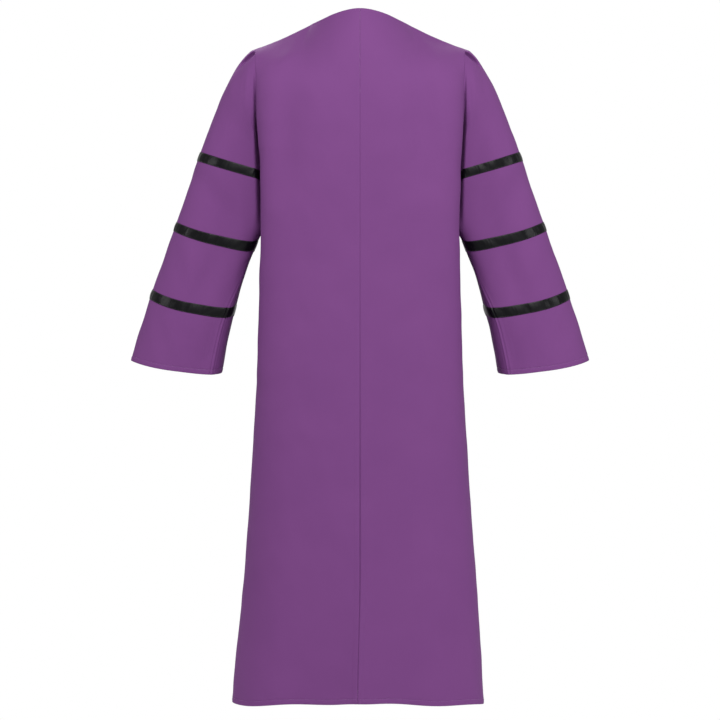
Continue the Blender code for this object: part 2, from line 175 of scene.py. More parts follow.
def graded(
    length: float, step: float, start: float = 0.0, end: float = 0.0, fine: float = 0.001
) -> Array:
    """Places along a length as shares of it, closer together near its ends.

    Args:
        length: The whole length.
        step: The wanted step in the middle.
        start: How far the close places reach from the start.
        end: How far the close places reach from the end.
        fine: The close step.

    Returns:
        Rising shares from 0 to 1.
    """
    middle = length - start - end
    places = [
        np.linspace(0.0, start, round(start / fine) + 1),
        start + np.linspace(0.0, middle, max(round(middle / step), 1) + 1),
        length - np.linspace(end, 0.0, round(end / fine) + 1),
    ]
    places = np.concatenate(places)
    kept = np.concatenate([[True], np.diff(places) > fine / 4])
    shares = places[kept] / length
    shares[-1] = 1.0
    return shares


def grid_normals(points: Array, closed: bool = False) -> Array:
    """Unit normals of a grid of points.

    Args:
        points: Rows of points.
        closed: Whether the rows run right round.

    Returns:
        One normal for each point, turned by rows running down and columns running on.
    """
    if closed:
        across = np.roll(points, -1, axis=1) - np.roll(points, 1, axis=1)
    else:
        across = np.gradient(points, axis=1)
    return unit(np.cross(np.gradient(points, axis=0), across))


@dataclass
class Surface:
    """The outer face of a cloth piece: rows of points that run down it, and their normals.

    Attributes:
        normals: The way the face looks at each point. It stays as it is while the points move.
        closed: Whether the rows run right round, as on a sleeve.
    """

    points: Array
    normals: Array
    closed: bool = False

    def moved(self, out: Array) -> "Surface":
        """The surface with each point moved out by a distance."""
        return Surface(self.points + self.normals * out[..., None], self.normals, self.closed)

    def picked(self, rows: slice) -> "Surface":
        """The part of the surface between some rows."""
        return Surface(self.points[rows], self.normals[rows], self.closed)

    def across(self) -> Array:
        """The length along each row from its first column."""
        steps = np.linalg.norm(np.diff(self.points, axis=1), axis=2)
        return np.concatenate([np.zeros((len(steps), 1)), np.cumsum(steps, axis=1)], axis=1)

    def from_last(self) -> Array:
        """The length along each row to its last column."""
        across = self.across()
        return across[:, -1:] - across

    def down(self) -> Array:
        """The length along each column from its first row."""
        steps = np.linalg.norm(np.diff(self.points, axis=0), axis=2)
        return np.concatenate([np.zeros((1, steps.shape[1])), np.cumsum(steps, axis=0)])

    def from_hem(self) -> Array:
        """The length along each column to its last row."""
        down = self.down()
        return down[-1:] - down

    def girths(self) -> Array:
        """The whole length of each row, with the closing step on a closed surface."""
        closing = np.linalg.norm(self.points[:, 0] - self.points[:, -1], axis=1)
        return self.across()[:, -1] + closing * self.closed

    def area(self) -> float:
        """The area of the face.

        Returns:
            The sum of the triangles that its points make.
        """
        points = self.points
        if self.closed:
            points = np.concatenate([points, points[:, :1]], axis=1)
        a, b, c, d = points[:-1, :-1], points[:-1, 1:], points[1:, 1:], points[1:, :-1]
        halves = np.linalg.norm(np.cross(b - a, c - a), axis=2)
        halves = halves + np.linalg.norm(np.cross(c - a, d - a), axis=2)
        return float(halves.sum() / 2)

    def line_round(self, distances: Array, level: float) -> "Run":
        """The line across the columns on which a distance has one value.

        Args:
            distances: A distance for each point that rises or falls down every column.
            level: The value that the line keeps.

        Returns:
            The line, with the surface's normals along it.
        """
        places, looks = [], []
        for column in range(self.points.shape[1]):
            values = distances[:, column]
            order = slice(None) if values[-1] > values[0] else slice(None, None, -1)
            values = values[order]
            for kept, given in ((places, self.points), (looks, self.normals)):
                row = given[order, column]
                kept.append([np.interp(level, values, row[:, axis]) for axis in range(3)])
        return Run(np.array(places), unit(np.array(looks)), self.closed)

    def line_down(self, distances: Array, level: float) -> "Run":
        """The line down the rows on which a distance has one value."""
        flipped = Surface(self.points.swapaxes(0, 1), self.normals.swapaxes(0, 1))
        return flipped.line_round(distances.T, level)


@dataclass
class Run:
    """A line on the cloth that stitches follow."""

    points: Array
    normals: Array
    closed: bool = False


# ---- finishes


class NodeTree:
    """A short way of writing a material's nodes."""

    colour_inputs: ClassVar[tuple[int, int]] = (6, 7)
    colour_output: ClassVar[int] = 2

    def __init__(self, name: str) -> None:
        """Starts a material with its shader and output.

        Args:
            name: The material's name.
        """
        self.material = bpy.data.materials.new(name)
        self.material.use_nodes = True
        self.nodes = self.material.node_tree.nodes
        self.shader = self.nodes["Principled BSDF"]

    def link(self, value: "Socket | float | tuple", socket: Socket) -> None:
        """Sends a socket or a plain value into a socket."""
        if isinstance(value, Socket):
            self.material.node_tree.links.new(value, socket)
        else:
            socket.default_value = value

    def node(self, kind: str, inputs: dict, **settings: object) -> bpy.types.Node:
        """Adds a node.

        Args:
            kind: The node's type.
            inputs: Values or sockets for its inputs, by name or number.
            **settings: The node's own settings.

        Returns:
            The node.
        """
        made = self.nodes.new(kind)
        for key, value in settings.items():
            setattr(made, key, value)
        for key, value in inputs.items():
            self.link(value, made.inputs[key])
        return made

    def math(self, operation: str, *values: "Socket | float") -> Socket:
        """The result of one sum on sockets and numbers."""
        return self.node("ShaderNodeMath", dict(enumerate(values)), operation=operation).outputs[0]

    def scaled(self, value: Socket, times: "Socket | float", plus: "Socket | float") -> Socket:
        """A value multiplied by one number, with another added."""
        return self.math("MULTIPLY_ADD", value, times, plus)

    def noise(self, at: Socket, scale: float = 1.0, detail: float = 2.0) -> Socket:
        """Soft noise between 0 and 1."""
        inputs = {"Vector": at, "Scale": scale, "Detail": detail, "Roughness": 0.5}
        return self.node("ShaderNodeTexNoise", inputs).outputs["Fac"]

    def grain(self, across: float = 1.0, along: float = 1.0) -> Socket:
        """Places on the cloth as cut.

        Args:
            across: The scale across the grain.
            along: The scale along it.

        Returns:
            The places' socket.
        """
        place = self.node("ShaderNodeUVMap", {}, uv_map=GRAIN_MAP).outputs["UV"]
        inputs = {"Vector": place, "Scale": (across, along, 1.0)}
        return self.node("ShaderNodeMapping", inputs).outputs["Vector"]

    def between(self, low: Triple, high: Triple, share: Socket) -> Socket:
        """A colour between two colours.

        Args:
            low: The colour at share 0.
            high: The colour at share 1.
            share: The share.

        Returns:
            The colour's socket.
        """
        made = self.node("ShaderNodeMix", {"Factor": share}, data_type="RGBA")
        for colour, number in zip((low, high), self.colour_inputs):
            self.link((*colour, 1.0), made.inputs[number])
        return made.outputs[self.colour_output]

    def span(self, value: Socket, low: float, high: float) -> Socket:
        """A value from 0 to 1 spread between two numbers."""
        inputs = {"Value": value, "To Min": low, "To Max": high}
        return self.node("ShaderNodeMapRange", inputs).outputs[0]

    def bump(self, height: Socket, distance: float, strength: float) -> None:
        """Gives the shader relief, on top of any that it has.

        Args:
            height: A height between 0 and 1.
            distance: How deep the relief is.
            strength: How strongly it shows.
        """
        inputs = {"Height": height, "Distance": distance, "Strength": strength}
        for before in self.shader.inputs["Normal"].links:
            inputs["Normal"] = before.from_socket
        bump = self.node("ShaderNodeBump", inputs)
        self.link(bump.outputs["Normal"], self.shader.inputs["Normal"])

    def set(self, **values: object) -> None:
        """Sets the shader's own sockets; underscores stand for spaces."""
        for key, value in values.items():
            self.link(value, self.shader.inputs[key.replace("_", " ")])


@dataclass(frozen=True)
class ClothFinish:
    """Matt purple polyester in a close plain weave.

    Attributes:
        pitch, relief: The distance between threads, and the depth of the weave.
        drifts, threads: How many changes of tone and uneven threads there are to a metre.
        thread_changes: How often to a metre such a thread changes along its length.
    """

    low: Triple = (0.149, 0.0460, 0.180)
    high: Triple = (0.176, 0.0560, 0.204)
    pitch: float = 0.00042
    relief: float = 0.00006
    drifts: float = 7.0
    threads: float = 1400.0
    thread_changes: float = 34.0

    def weave(self, tree: NodeTree) -> Socket:
        """The plain weave: warp over weft in half of the squares, weft over warp in the others.

        Args:
            tree: The material's nodes.

        Returns:
            The socket of the weave's height.
        """
        place = tree.grain(math.pi / self.pitch, math.pi / self.pitch)
        parts = tree.node("ShaderNodeSeparateXYZ", {0: place})
        warp = tree.math("SINE", parts.outputs[0])
        weft = tree.math("SINE", parts.outputs[1])
        return tree.scaled(tree.math("MULTIPLY", warp, weft), times=0.5, plus=0.5)

    def material(self) -> Material:
        """The cloth: tone that drifts, uneven threads both ways, weave relief and a soft nap.

        Returns:
            The material.
        """
        tree = NodeTree("purple_cloth")
        drift = tree.noise(tree.grain(), scale=self.drifts, detail=3.0)
        warp_threads = tree.noise(tree.grain(self.threads, self.thread_changes))
        weft_threads = tree.noise(tree.grain(self.thread_changes, self.threads))
        both = tree.math("ADD", warp_threads, weft_threads)
        tone = tree.scaled(drift, times=0.62, plus=tree.scaled(both, times=0.28, plus=-0.10))
        weave = self.weave(tree)
        shade = tree.scaled(weave, times=0.10, plus=tone)
        tree.set(Base_Color=tree.between(self.low, self.high, shade))
        tree.set(Roughness=tree.span(warp_threads, low=0.76, high=0.84), Specular_IOR_Level=0.12)
        tree.set(Sheen_Weight=0.045, Sheen_Roughness=0.45, Sheen_Tint=(0.76, 0.42, 0.84, 1.0))
        tree.bump(weave, distance=self.relief, strength=0.45)
        return tree.material


@dataclass(frozen=True)
class RibbonFinish:
    """Black satin ribbon, its long threads running round the sleeve.

    Attributes:
        pitch, rib_relief: The distance between the long threads, and how far they stand up.
        drifts, threads: How many changes of gloss and uneven threads there are to a metre.
        thread_changes: How often to a metre such a thread changes along its length.
        streaks, streak_changes: How many satin streaks to a metre, and how often they change.
        streak_relief: How far the ribbon's face rises and falls between them.
    """

    low: Triple = (0.0022, 0.0022, 0.0028)
    high: Triple = (0.0052, 0.0052, 0.0062)
    pitch: float = 0.00030
    rib_relief: float = 0.00004
    threads: float = 2300.0
    thread_changes: float = 22.0
    drifts: float = 38.0
    streaks: float = 95.0
    streak_changes: float = 7.0
    streak_relief: float = 0.0011

    def material(self) -> Material:
        """The ribbon: satin gloss drawn across the long threads, fine ribs and uneven threads.

        Returns:
            The material.
        """
        tree = NodeTree("black_ribbon")
        threads = tree.noise(tree.grain(self.thread_changes, self.threads))
        drift = tree.noise(tree.grain(), scale=self.drifts)
        tone = tree.scaled(threads, times=0.6, plus=0.2)
        tree.set(Base_Color=tree.between(self.low, self.high, tone))
        tree.set(Roughness=tree.span(drift, low=0.28, high=0.38), Specular_IOR_Level=0.15)
        tree.set(Anisotropic=0.70, Anisotropic_Rotation=0.25)
        tangent = tree.node("ShaderNodeTangent", {}, direction_type="UV_MAP", uv_map=GRAIN_MAP)
        tree.link(tangent.outputs[0], tree.shader.inputs["Tangent"])
        streaks = tree.noise(tree.grain(self.streaks, self.streak_changes), detail=3.0)
        tree.bump(streaks, distance=self.streak_relief, strength=1.0)
        parts = tree.node("ShaderNodeSeparateXYZ", {0: tree.grain(along=math.tau / self.pitch)})
        ribs = tree.scaled(tree.math("SINE", parts.outputs[1]), times=0.35, plus=0.5)
        ribs = tree.scaled(threads, times=0.3, plus=ribs)
        tree.bump(ribs, distance=self.rib_relief, strength=0.35)
        return tree.material


@dataclass(frozen=True)
class ThreadFinish:
    """Spun sewing thread."""

    name: str
    colour: Triple
    dark: float = 0.8
    fuzz: float = 900.0
    relief: float = 0.00004

    def material(self) -> Material:
        """The thread: short fibres that stand up from it.

        Returns:
            The material.
        """
        tree = NodeTree(self.name)
        fuzz = tree.noise(tree.node("ShaderNodeTexCoord", {}).outputs["Object"], scale=self.fuzz)
        darker = tuple(self.dark * part for part in self.colour)
        tree.set(Base_Color=tree.between(darker, self.colour, fuzz))
        tree.set(Roughness=0.5, Sheen_Weight=0.3)
        tree.bump(fuzz, distance=self.relief, strength=0.3)
        return tree.material


@dataclass(frozen=True)
class FloorFinish:
    """The pale floor of the studio, which fades into the white round it."""

    colour: Triple = (0.86, 0.86, 0.865)
    dark: float = 0.985
    drifts: float = 3.0
    solid_to: float = 0.75
    fades_to: float = 1.70

    def material(self) -> Material:
        """The floor, clear from below so that it never hides the robe.

        Returns:
            The material.
        """
        tree = NodeTree("studio_floor")
        place = tree.node("ShaderNodeTexCoord", {}).outputs["Object"]
        darker = tuple(self.dark * part for part in self.colour)
        tone = tree.noise(place, scale=self.drifts)
        tree.set(Base_Color=tree.between(darker, self.colour, tone), Roughness=0.9)
        away = tree.node("ShaderNodeVectorMath", {0: place}, operation="LENGTH").outputs["Value"]
        limits = {"Value": away, "From Min": self.solid_to, "From Max": self.fades_to}
        faded = tree.node("ShaderNodeMapRange", limits, interpolation_type="SMOOTHSTEP").outputs[0]
        below = tree.node("ShaderNodeNewGeometry", {}).outputs["Backfacing"]
        clear = tree.node("ShaderNodeBsdfTransparent", {}).outputs[0]
        unseen = tree.math("MAXIMUM", below, faded)
        mixed = tree.node("ShaderNodeMixShader", {0: unseen, 1: tree.shader.outputs[0], 2: clear})
        tree.link(mixed.outputs[0], tree.nodes["Material Output"].inputs["Surface"])
        return tree.material


# ---- walls of cloth and rows of stitches


def link_mesh(name: str, vertices: Array, faces: Array, material: Material) -> Piece:
    """Makes a smooth mesh and links it.

    Args:
        name: The piece's name.
        vertices: The mesh's points.
        faces: Its faces.
        material: Its finish.

    Returns:
        The piece.
    """
    mesh = bpy.data.meshes.new(name)
    mesh.from_pydata(vertices.tolist(), [], faces.tolist())
    mesh.polygons.foreach_set("use_smooth", np.ones(len(faces), bool))
    mesh.materials.append(material)
    piece = bpy.data.objects.new(name, mesh)
    bpy.context.scene.collection.objects.link(piece)
    return piece


@dataclass
class ClothWall:
    """A closed thin wall of cloth with rounded edges.

    Attributes:
        surface: The outer face, on the wearer's left.
        thickness: How thick the wall is, at each point or everywhere.
        rim_reach: How far a rounded edge may stand out from the face's last points.
    """

    name: str
    surface: Surface
    thickness: "Array | float"
    half: Half
    material: Material
    rim_turns: int = 4
    rim_reach: float = 0.00040

    def borders(self, rows: int, columns: int) -> list[list[tuple[int, int]]]:
        """The edge loops of the grid, in the order that its faces turn.

        Args:
            rows: How many rows the grid has.
            columns: How many columns.

        Returns:
            Loops of places in the grid.
        """
        top = [(0, column) for column in range(columns)]
        bottom = [(rows - 1, column) for column in reversed(range(columns))]
        if self.surface.closed:
            return [top, bottom]
        right = [(row, columns - 1) for row in range(1, rows - 1)]
        left = [(row, 0) for row in reversed(range(1, rows - 1))]
        return [top + right + bottom + left]

    def outward(self, points: Array, normals: Array) -> Array:
        """The way out of the piece at each point of its edge, and nothing elsewhere.

        Args:
            points: The grid's points.
            normals: Their normals.

        Returns:
            A vector for each point.
        """
        out = np.zeros_like(points)
        out[0] += unit(points[0] - points[1])
        out[-1] += unit(points[-1] - points[-2])
        if not self.surface.closed:
            out[:, 0] += unit(points[:, 0] - points[:, 1])
            out[:, -1] += unit(points[:, -1] - points[:, -2])
        out -= (out * normals).sum(axis=2, keepdims=True) * normals
        return unit(out) * (np.linalg.norm(out, axis=2, keepdims=True) > 0)

    def grain_places(self) -> Array:
        """The places on the cloth as cut.

        Returns:
            A place for each point, with one more column where the rows close.
        """
        across, down = self.surface.across(), self.surface.down()
        if self.surface.closed:
            across = np.concatenate([across, self.surface.girths()[:, None]], axis=1)
            down = np.concatenate([down, down[:, :1]], axis=1)
        return np.stack([across, -down], axis=2)

    def build(self) -> Piece:
        """Builds the wall's mesh and links it.

        Returns:
            The piece.
        """
        points, normals = self.surface.points, self.surface.normals
        rows, columns = points.shape[:2]
        thick = np.broadcast_to(np.asarray(self.thickness, float), (rows, columns))[..., None]
        out = self.outward(points, normals)
        outer = points - out * np.minimum(thick / 2, self.rim_reach)
        inner = outer - normals * thick
        vertices = [outer.reshape(-1, 3), inner.reshape(-1, 3)]
        half_count = rows * columns
        around = columns if self.surface.closed else columns - 1
        grain = self.grain_places()

        row, column = np.meshgrid(np.arange(rows - 1), np.arange(around), indexing="ij")
        corners = [(row, column), (row, column + 1), (row + 1, column + 1), (row + 1, column)]
        quads = np.stack([r * columns + c % columns for r, c in corners], axis=-1).reshape(-1, 4)
        marks = np.stack([grain[r, c] for r, c in corners], axis=2).reshape(-1, 4, 2)
        faces = [quads, quads[:, ::-1] + half_count]
        places = [marks, marks[:, ::-1]]

        turns = np.linspace(0.0, math.pi, self.rim_turns + 1)[1:-1]
        count = 2 * half_count
        for loop in self.borders(rows, columns):
            r, c = np.array(loop).T
            upper, lower, way = outer[r, c], inner[r, c], out[r, c]
            middle, rise = (upper + lower) / 2, (upper - lower) / 2
            reach = np.minimum(np.linalg.norm(rise, axis=1, keepdims=True), self.rim_reach)
            first = r * columns + c
            chains = [first]
            for turn in turns:
                vertices.append(middle + math.cos(turn) * rise + math.sin(turn) * way * reach)
                chains.append(count + np.arange(len(loop)))
                count += len(loop)
            chains.append(first + half_count)
            mark = grain[r, c]
            following = np.roll(np.arange(len(loop)), -1)
            for near, far in zip(chains, chains[1:]):
                faces.append(np.stack([near[following], near, far, far[following]], axis=1))
                places.append(np.stack([mark[following], mark, mark, mark[following]], axis=1))
        return self.link(np.concatenate(vertices), np.concatenate(faces), np.concatenate(places))

    def link(self, vertices: Array, faces: Array, places: Array) -> Piece:
        """Makes the mesh, on its own side of the wearer and facing out, and links it.

        Args:
            vertices: The wall's points.
            faces: Its four-cornered faces.
            places: The place on the cloth of each corner of each face.

        Returns:
            The piece.
        """
        middle = self.surface.points.shape[0] // 2
        row, next_row = self.surface.points[middle], self.surface.points[middle + 1]
        turned = np.cross(row[1:] - row[:-1], (next_row - row)[1:])
        facing = (turned * self.surface.normals[middle, 1:]).sum()
        if (facing < 0) != (self.half is Half.RIGHT):
            faces, places = faces[:, ::-1], places[:, ::-1]
        piece = link_mesh(self.name, vertices * (self.half.way, 1.0, 1.0), faces, self.material)
        grain_map = piece.data.uv_layers.new(name=GRAIN_MAP)
        grain_map.data.foreach_set("uv", places.astype(np.float32).ravel())
        return piece


@dataclass
class Stitching:
    """One piece of thread: the machine stitches along one or more runs.

    Attributes:
        length, gap: The length of a stitch that shows, and between two of them.
        width, height, sunk: The thread's width, how far it stands up, and how far it is sunk.
        tapers: The share of a stitch over which it tapers at each end.
        corners: How many corners a stitch has: an end, two rings of four and an end.
        faces: The corners of a stitch's faces.
    """

    name: str
    half: Half
    material: Material
    length: float = 0.0026
    gap: float = 0.0007
    width: float = 0.00050
    height: float = 0.00022
    sunk: float = 0.00008
    tapers: float = 0.22
    runs: list[Run] = field(default_factory=list)
    corners: ClassVar[int] = 10
    faces: ClassVar[tuple[tuple[int, int, int], ...]] = (
        ((0, 2, 1), (0, 3, 2), (0, 4, 3), (0, 1, 4))
        + ((1, 2, 6), (1, 6, 5), (2, 3, 7), (2, 7, 6), (3, 4, 8), (3, 8, 7), (4, 1, 5), (4, 5, 8))
        + ((9, 5, 6), (9, 6, 7), (9, 7, 8), (9, 8, 5))
    )

    def stitches(self, run: Run) -> tuple[Array, Array, Array]:
        """Where the stitches of a run lie.

        Args:
            run: The line that they follow.

        Returns:
            The starts, the ends and the normals of the stitches.
        """
        points, normals = run.points, run.normals
        if run.closed:
            points = np.concatenate([points, points[:1]])
            normals = np.concatenate([normals, normals[:1]])
        along = lengths_along(points)
        count = max(int(along[-1] / (self.length + self.gap)), 1)
        pitch = along[-1] / count
        starts = np.arange(count) * pitch + self.gap / 2
        ends = starts + pitch - self.gap
        looks = unit(read_along(along, normals, (starts + ends) / 2))
        return read_along(along, points, starts), read_along(along, points, ends), looks

    def build(self) -> Piece:
        """Builds all the stitches as one mesh.

        Returns:
            The piece of thread.
        """
        parts = [self.stitches(run) for run in self.runs]
        starts, ends, looks = (np.concatenate(values) for values in zip(*parts))
        way = unit(ends - starts)
        beside = unit(np.cross(way, looks)) * self.width / 2
        up, under = looks * self.height, -looks * self.sunk
        shares = (1 - self.tapers, self.tapers)
        rings = [
            starts * near + ends * far + shift
            for near, far in (shares, shares[::-1])
            for shift in (beside, up, -beside, under)
        ]
        corners = np.stack([starts + under / 2, *rings, ends + under / 2], axis=1)
        first = np.arange(len(starts))[:, None, None] * self.corners
        faces = (first + np.array(self.faces)[None]).reshape(-1, 3)
        vertices = corners.reshape(-1, 3) * (self.half.way, 1.0, 1.0)
        if self.half is Half.RIGHT:
            faces = faces[:, ::-1]
        return link_mesh(self.name, vertices, faces, self.material)


# ---- what the tailor's hand leaves in the cloth


@dataclass(frozen=True)
class Crease:
    """A soft trough or ridge, placed as the robe is seen from behind or in front.

    Attributes:
        x, z: Its middle's distance from the centre line and its height.
        reach, spread: Half its length and half its width.
        depth: How far it stands out, or in if it is less than nothing.
    """

    x: float
    z: float
    lean: float
    reach: float
    spread: float
    depth: float

    def out(self, points: Array) -> Array:
        """How far it moves some points.

        Args:
            points: The points.

        Returns:
            A distance for each point.
        """
        turn = math.radians(self.lean)
        east, south = points[..., 0] - self.x, self.z - points[..., 2]
        along = east * math.sin(turn) + south * math.cos(turn)
        beside = east * math.cos(turn) - south * math.sin(turn)
        return self.depth * bell(along, self.reach) * bell(beside, self.spread)


@dataclass(frozen=True)
class Handling:
    """The soft unevenness that handled cloth keeps: shallow waves that run several ways.

    Attributes:
        bend_share: The quickness of the bends, as a share of a wave's length.
        phase: A number that keeps the waves from starting together.
    """

    height: float = 0.00034
    steps: tuple[float, ...] = (0.118, 0.083, 0.061, 0.047)
    turns: tuple[float, ...] = (62.0, 118.0, 84.0, 21.0)
    bend: float = 0.010
    bend_share: float = 0.7
    phase: float = 1.3

    def out(self, across: Array, down: Array, start: float) -> Array:
        """How far the cloth stands out.

        Args:
            across: Each point's place across the grain.
            down: Its place down the grain.
            start: A number that makes each piece's waves its own.

        Returns:
            A distance for each point.
        """
        total = np.zeros(np.shape(across))
        for number, (step, turn) in enumerate(zip(self.steps, self.turns)):
            way = math.radians(turn)
            along = across * math.cos(way) + down * math.sin(way)
            beside = down * math.cos(way) - across * math.sin(way)
            turned = beside / (self.bend_share * step) + start + 2 * number
            bent = along + self.bend * np.sin(turned)
            wave = np.sin(math.tau * bent / step + start * (number + self.phase))
            total += wave * step / self.steps[0]
        return self.height * total


@dataclass(frozen=True)
class Seam:
    """A plain seam, pressed open.

    Attributes:
        dip, roll: How far the cloth rolls in at the seam, and how wide the roll is.
        print_out, print_edge: How far the allowance shows through, and how wide its edge.
        slow_pucker: The strength and the step of slower puckers, as shares of the others'.
        pucker_place: How far from the seam the puckers lie and how wide they are, in rolls.
        shoulder_share, underarm_share: How much of the dip an armhole seam has on the
            shoulder, and how much more under the arm.
        deepens_z, deepens_over: The height where that starts, and the height it takes.
    """

    dip: float = 0.0007
    roll: float = 0.0013
    allowance: float = 0.0105
    print_out: float = 0.00018
    print_edge: float = 0.0010
    pucker: float = 0.00012
    pucker_step: float = 0.017
    slow_pucker: Pair = (0.6, 1.7)
    pucker_place: Pair = (2.2, 2.5)
    shoulder_share: float = 0.20
    underarm_share: float = 2.20
    deepens_z: float = -0.075
    deepens_over: float = 0.050

    def out(self, distance: Array, along: Array) -> Array:
        """How far the cloth stands out beside the seam.

        Args:
            distance: Each point's distance from the seam.
            along: Each point's place along it.

        Returns:
            A distance for each point.
        """
        flat = 1 - ease((distance - self.allowance + self.print_edge) / self.print_edge)
        strength, slower = self.slow_pucker
        wave = np.sin(math.tau * along / self.pucker_step)
        wave = wave + strength * np.sin(math.tau * along / (slower * self.pucker_step))
        off, wide = self.pucker_place
        near = bell(distance - self.roll * off, self.roll * wide) * ease(distance / self.roll)
        pressed = self.print_out * flat - self.dip * bell(distance, self.roll)
        return pressed + self.pucker * wave * near

    def backing(self, distance: Array) -> Array:
        """1 where the allowance lies behind the cloth, and 0 beyond it."""
        return 1 - ease((distance - self.allowance + self.print_edge / 2) / self.print_edge)

    def armhole_out(self, distance: Array, height: Array) -> Array:
        """How far the cloth stands out at an armhole seam, the same on both sides of it.

        Args:
            distance: Each point's distance from the seam.
            height: Each point's height.

        Returns:
            A distance for each point, less than nothing where the cloth rolls in.
        """
        lower = ease((self.deepens_z - height) / self.deepens_over)
        share = self.shoulder_share + self.underarm_share * lower
        return -self.dip * share * bell(distance, self.roll)


@dataclass(frozen=True)
class Hem:
    """A narrow turned hem held by one row of stitches.

    Attributes:
        width, turned: From the edge to the row of stitches and to the end of the turned cloth.
        groove, groove_width: How far the stitches draw the cloth in, and how wide.
        slant: How far the puckers lean along the hem for each step up it.
        pucker_place: How far from the edge the puckers lie and how wide they are, in widths.
        waves: The strength, quickness and start of each wave in the puckers.
        waves_peak: What the waves come to where they meet.
    """

    width: float = 0.0095
    turned: float = 0.0108
    groove: float = 0.00050
    groove_width: float = 0.0010
    puff: float = 0.00035
    pucker: float = 0.00030
    pucker_step: float = 0.0125
    slant: float = 0.9
    pucker_place: Pair = (0.8, 0.9)
    waves: tuple[Triple, ...] = ((1.0, 1.0, 0.0), (0.7, 0.61, 1.3), (0.5, 1.73, 0.4))
    waves_peak: float = 1.6
    end: float = 0.0008

    def out(self, distance: Array, along: Array) -> Array:
        """How far the cloth stands out near its hem.

        Args:
            distance: Each point's distance from the edge.
            along: Each point's place along it.

        Returns:
            A distance for each point.
        """
        share = np.clip(distance / self.width, 0.0, 1.0)
        swell = self.puff * 4 * share * (1 - share)
        groove = self.groove * bell(distance - self.width, self.groove_width)
        phase = math.tau * (along + self.slant * distance) / self.pucker_step
        wave = sum(strength * np.sin(phase * rate + start) for strength, rate, start in self.waves)
        off, wide = self.pucker_place
        window = bell(distance - self.width * off, self.width * wide)
        return swell - groove + self.pucker * wave * window / self.waves_peak

    def backing(self, distance: Array) -> Array:
        """1 where the turned cloth lies behind, and 0 beyond it."""
        return 1 - ease((distance - self.turned) / self.end)


class ClothPiece:
    """A cloth piece that stands for one CAD node, with its hem and its thread.

    Attributes:
        cloth_thick: How thick a single layer is.
        allowance_thick: What an allowance or a turned hem adds to it.
    """

    cloth_thick: ClassVar[float] = 0.0008
    allowance_thick: ClassVar[float] = 0.0006
    half: Half
    name: str

    def dressed(self) -> tuple[Surface, Array]:
        """The finished outer face and the wall's thickness."""
        raise NotImplementedError

    def stitched(self, surface: Surface) -> list[Run]:
        """The lines of stitches that show on the finished face."""
        raise NotImplementedError

    def build(self, cloth: Material, thread: Material) -> list[Piece]:
        """Builds the piece's cloth and its stitching.

        Args:
            cloth: The cloth's finish.
            thread: The thread's finish.

        Returns:
            The cloth first, then the thread.
        """
        surface, thickness = self.dressed()
        wall = ClothWall(f"{self.name}_cloth", surface, thickness, self.half, cloth).build()
        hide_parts(self.name)
        runs = self.stitched(surface)
        sewn = Stitching(f"{self.name}_thread", self.half, thread, runs=runs).build()
        girth, length = surface.girths().max(), surface.down()[-1].max()
        LOG.info("%s: %.3f wide, %.3f long, %.4f m2", wall.name, girth, length, surface.area())
        area = min(surface.area(), girth * length)
        return [wall, sewn]


# ---- the body


@dataclass(frozen=True)
class Section:
    """The body's plan at one height.

    Attributes:
        half_width, side_half: Half its widest width, and half that where the arm presses it in.
        squareness: 2 for an oval, and more for a squarer form.
    """

    height: float
    half_width: float
    side_half: float
    back: float
    front: float
    squareness: float


@dataclass(frozen=True)
class Yoke:
    """How a panel runs from its top edge over the shoulder.

    Attributes:
        armhole_share: The share of the panel at which the armhole's edge meets the foot.
        neck_share: The share at which neckline turns to shoulder seam.
        centre_fall, neck_fall, tip_fall: The cloth's slope at the centre line, the side of the
            neck and the shoulder's tip, in degrees below level.
        reach: How far the cloth holds its way at either end, as a share of the yoke's height.
        neck_lean: How far outwards it turns as it leaves the side of the neck, in degrees.
    """

    foot_z: float
    armhole_share: float
    neck_share: float
    centre_fall: float
    neck_fall: float
    tip_fall: float
    reach: float
    neck_lean: float


@dataclass(frozen=True)
class Fold:
    """A soft fold of the skirt that deepens towards the hem."""

    share: float
    from_z: float
    depth: float
    width: float


BODY_SECTIONS = (
    Section(-0.050, 0.2040, 0.2040, 0.100, 0.082, 3.6),
    Section(-0.150, 0.2000, 0.1880, 0.118, 0.106, 4.6),
    Section(-0.200, 0.1985, 0.1760, 0.121, 0.120, 5.0),
    Section(-0.250, 0.1960, 0.1680, 0.121, 0.130, 5.2),
    Section(-0.300, 0.1935, 0.1650, 0.119, 0.134, 5.2),
    Section(-0.360, 0.1920, 0.1650, 0.118, 0.134, 5.0),
    Section(-0.420, 0.1915, 0.1720, 0.117, 0.132, 4.6),
    Section(-0.480, 0.1930, 0.1810, 0.117, 0.131, 4.3),
    Section(-0.560, 0.1953, 0.1900, 0.118, 0.131, 4.0),
    Section(-0.652, 0.1980, 0.1970, 0.120, 0.131, 3.7),
    Section(-0.807, 0.2066, 0.2066, 0.124, 0.133, 3.4),
    Section(-0.962, 0.2163, 0.2163, 0.129, 0.137, 3.3),
    Section(-1.117, 0.2280, 0.2280, 0.134, 0.142, 3.3),
    Section(-1.230, 0.2375, 0.2375, 0.138, 0.146, 3.4),
    Section(-1.3045, 0.2425, 0.2425, 0.141, 0.149, 3.6),
)
YOKES = {
    Side.BACK: Yoke(-0.150, 0.77, 0.42, 60.0, 44.0, 14.0, 0.42, 38.0),
    Side.FRONT: Yoke(-0.185, 0.80, 0.36, 78.0, 52.0, 14.0, 0.40, 14.0),
}
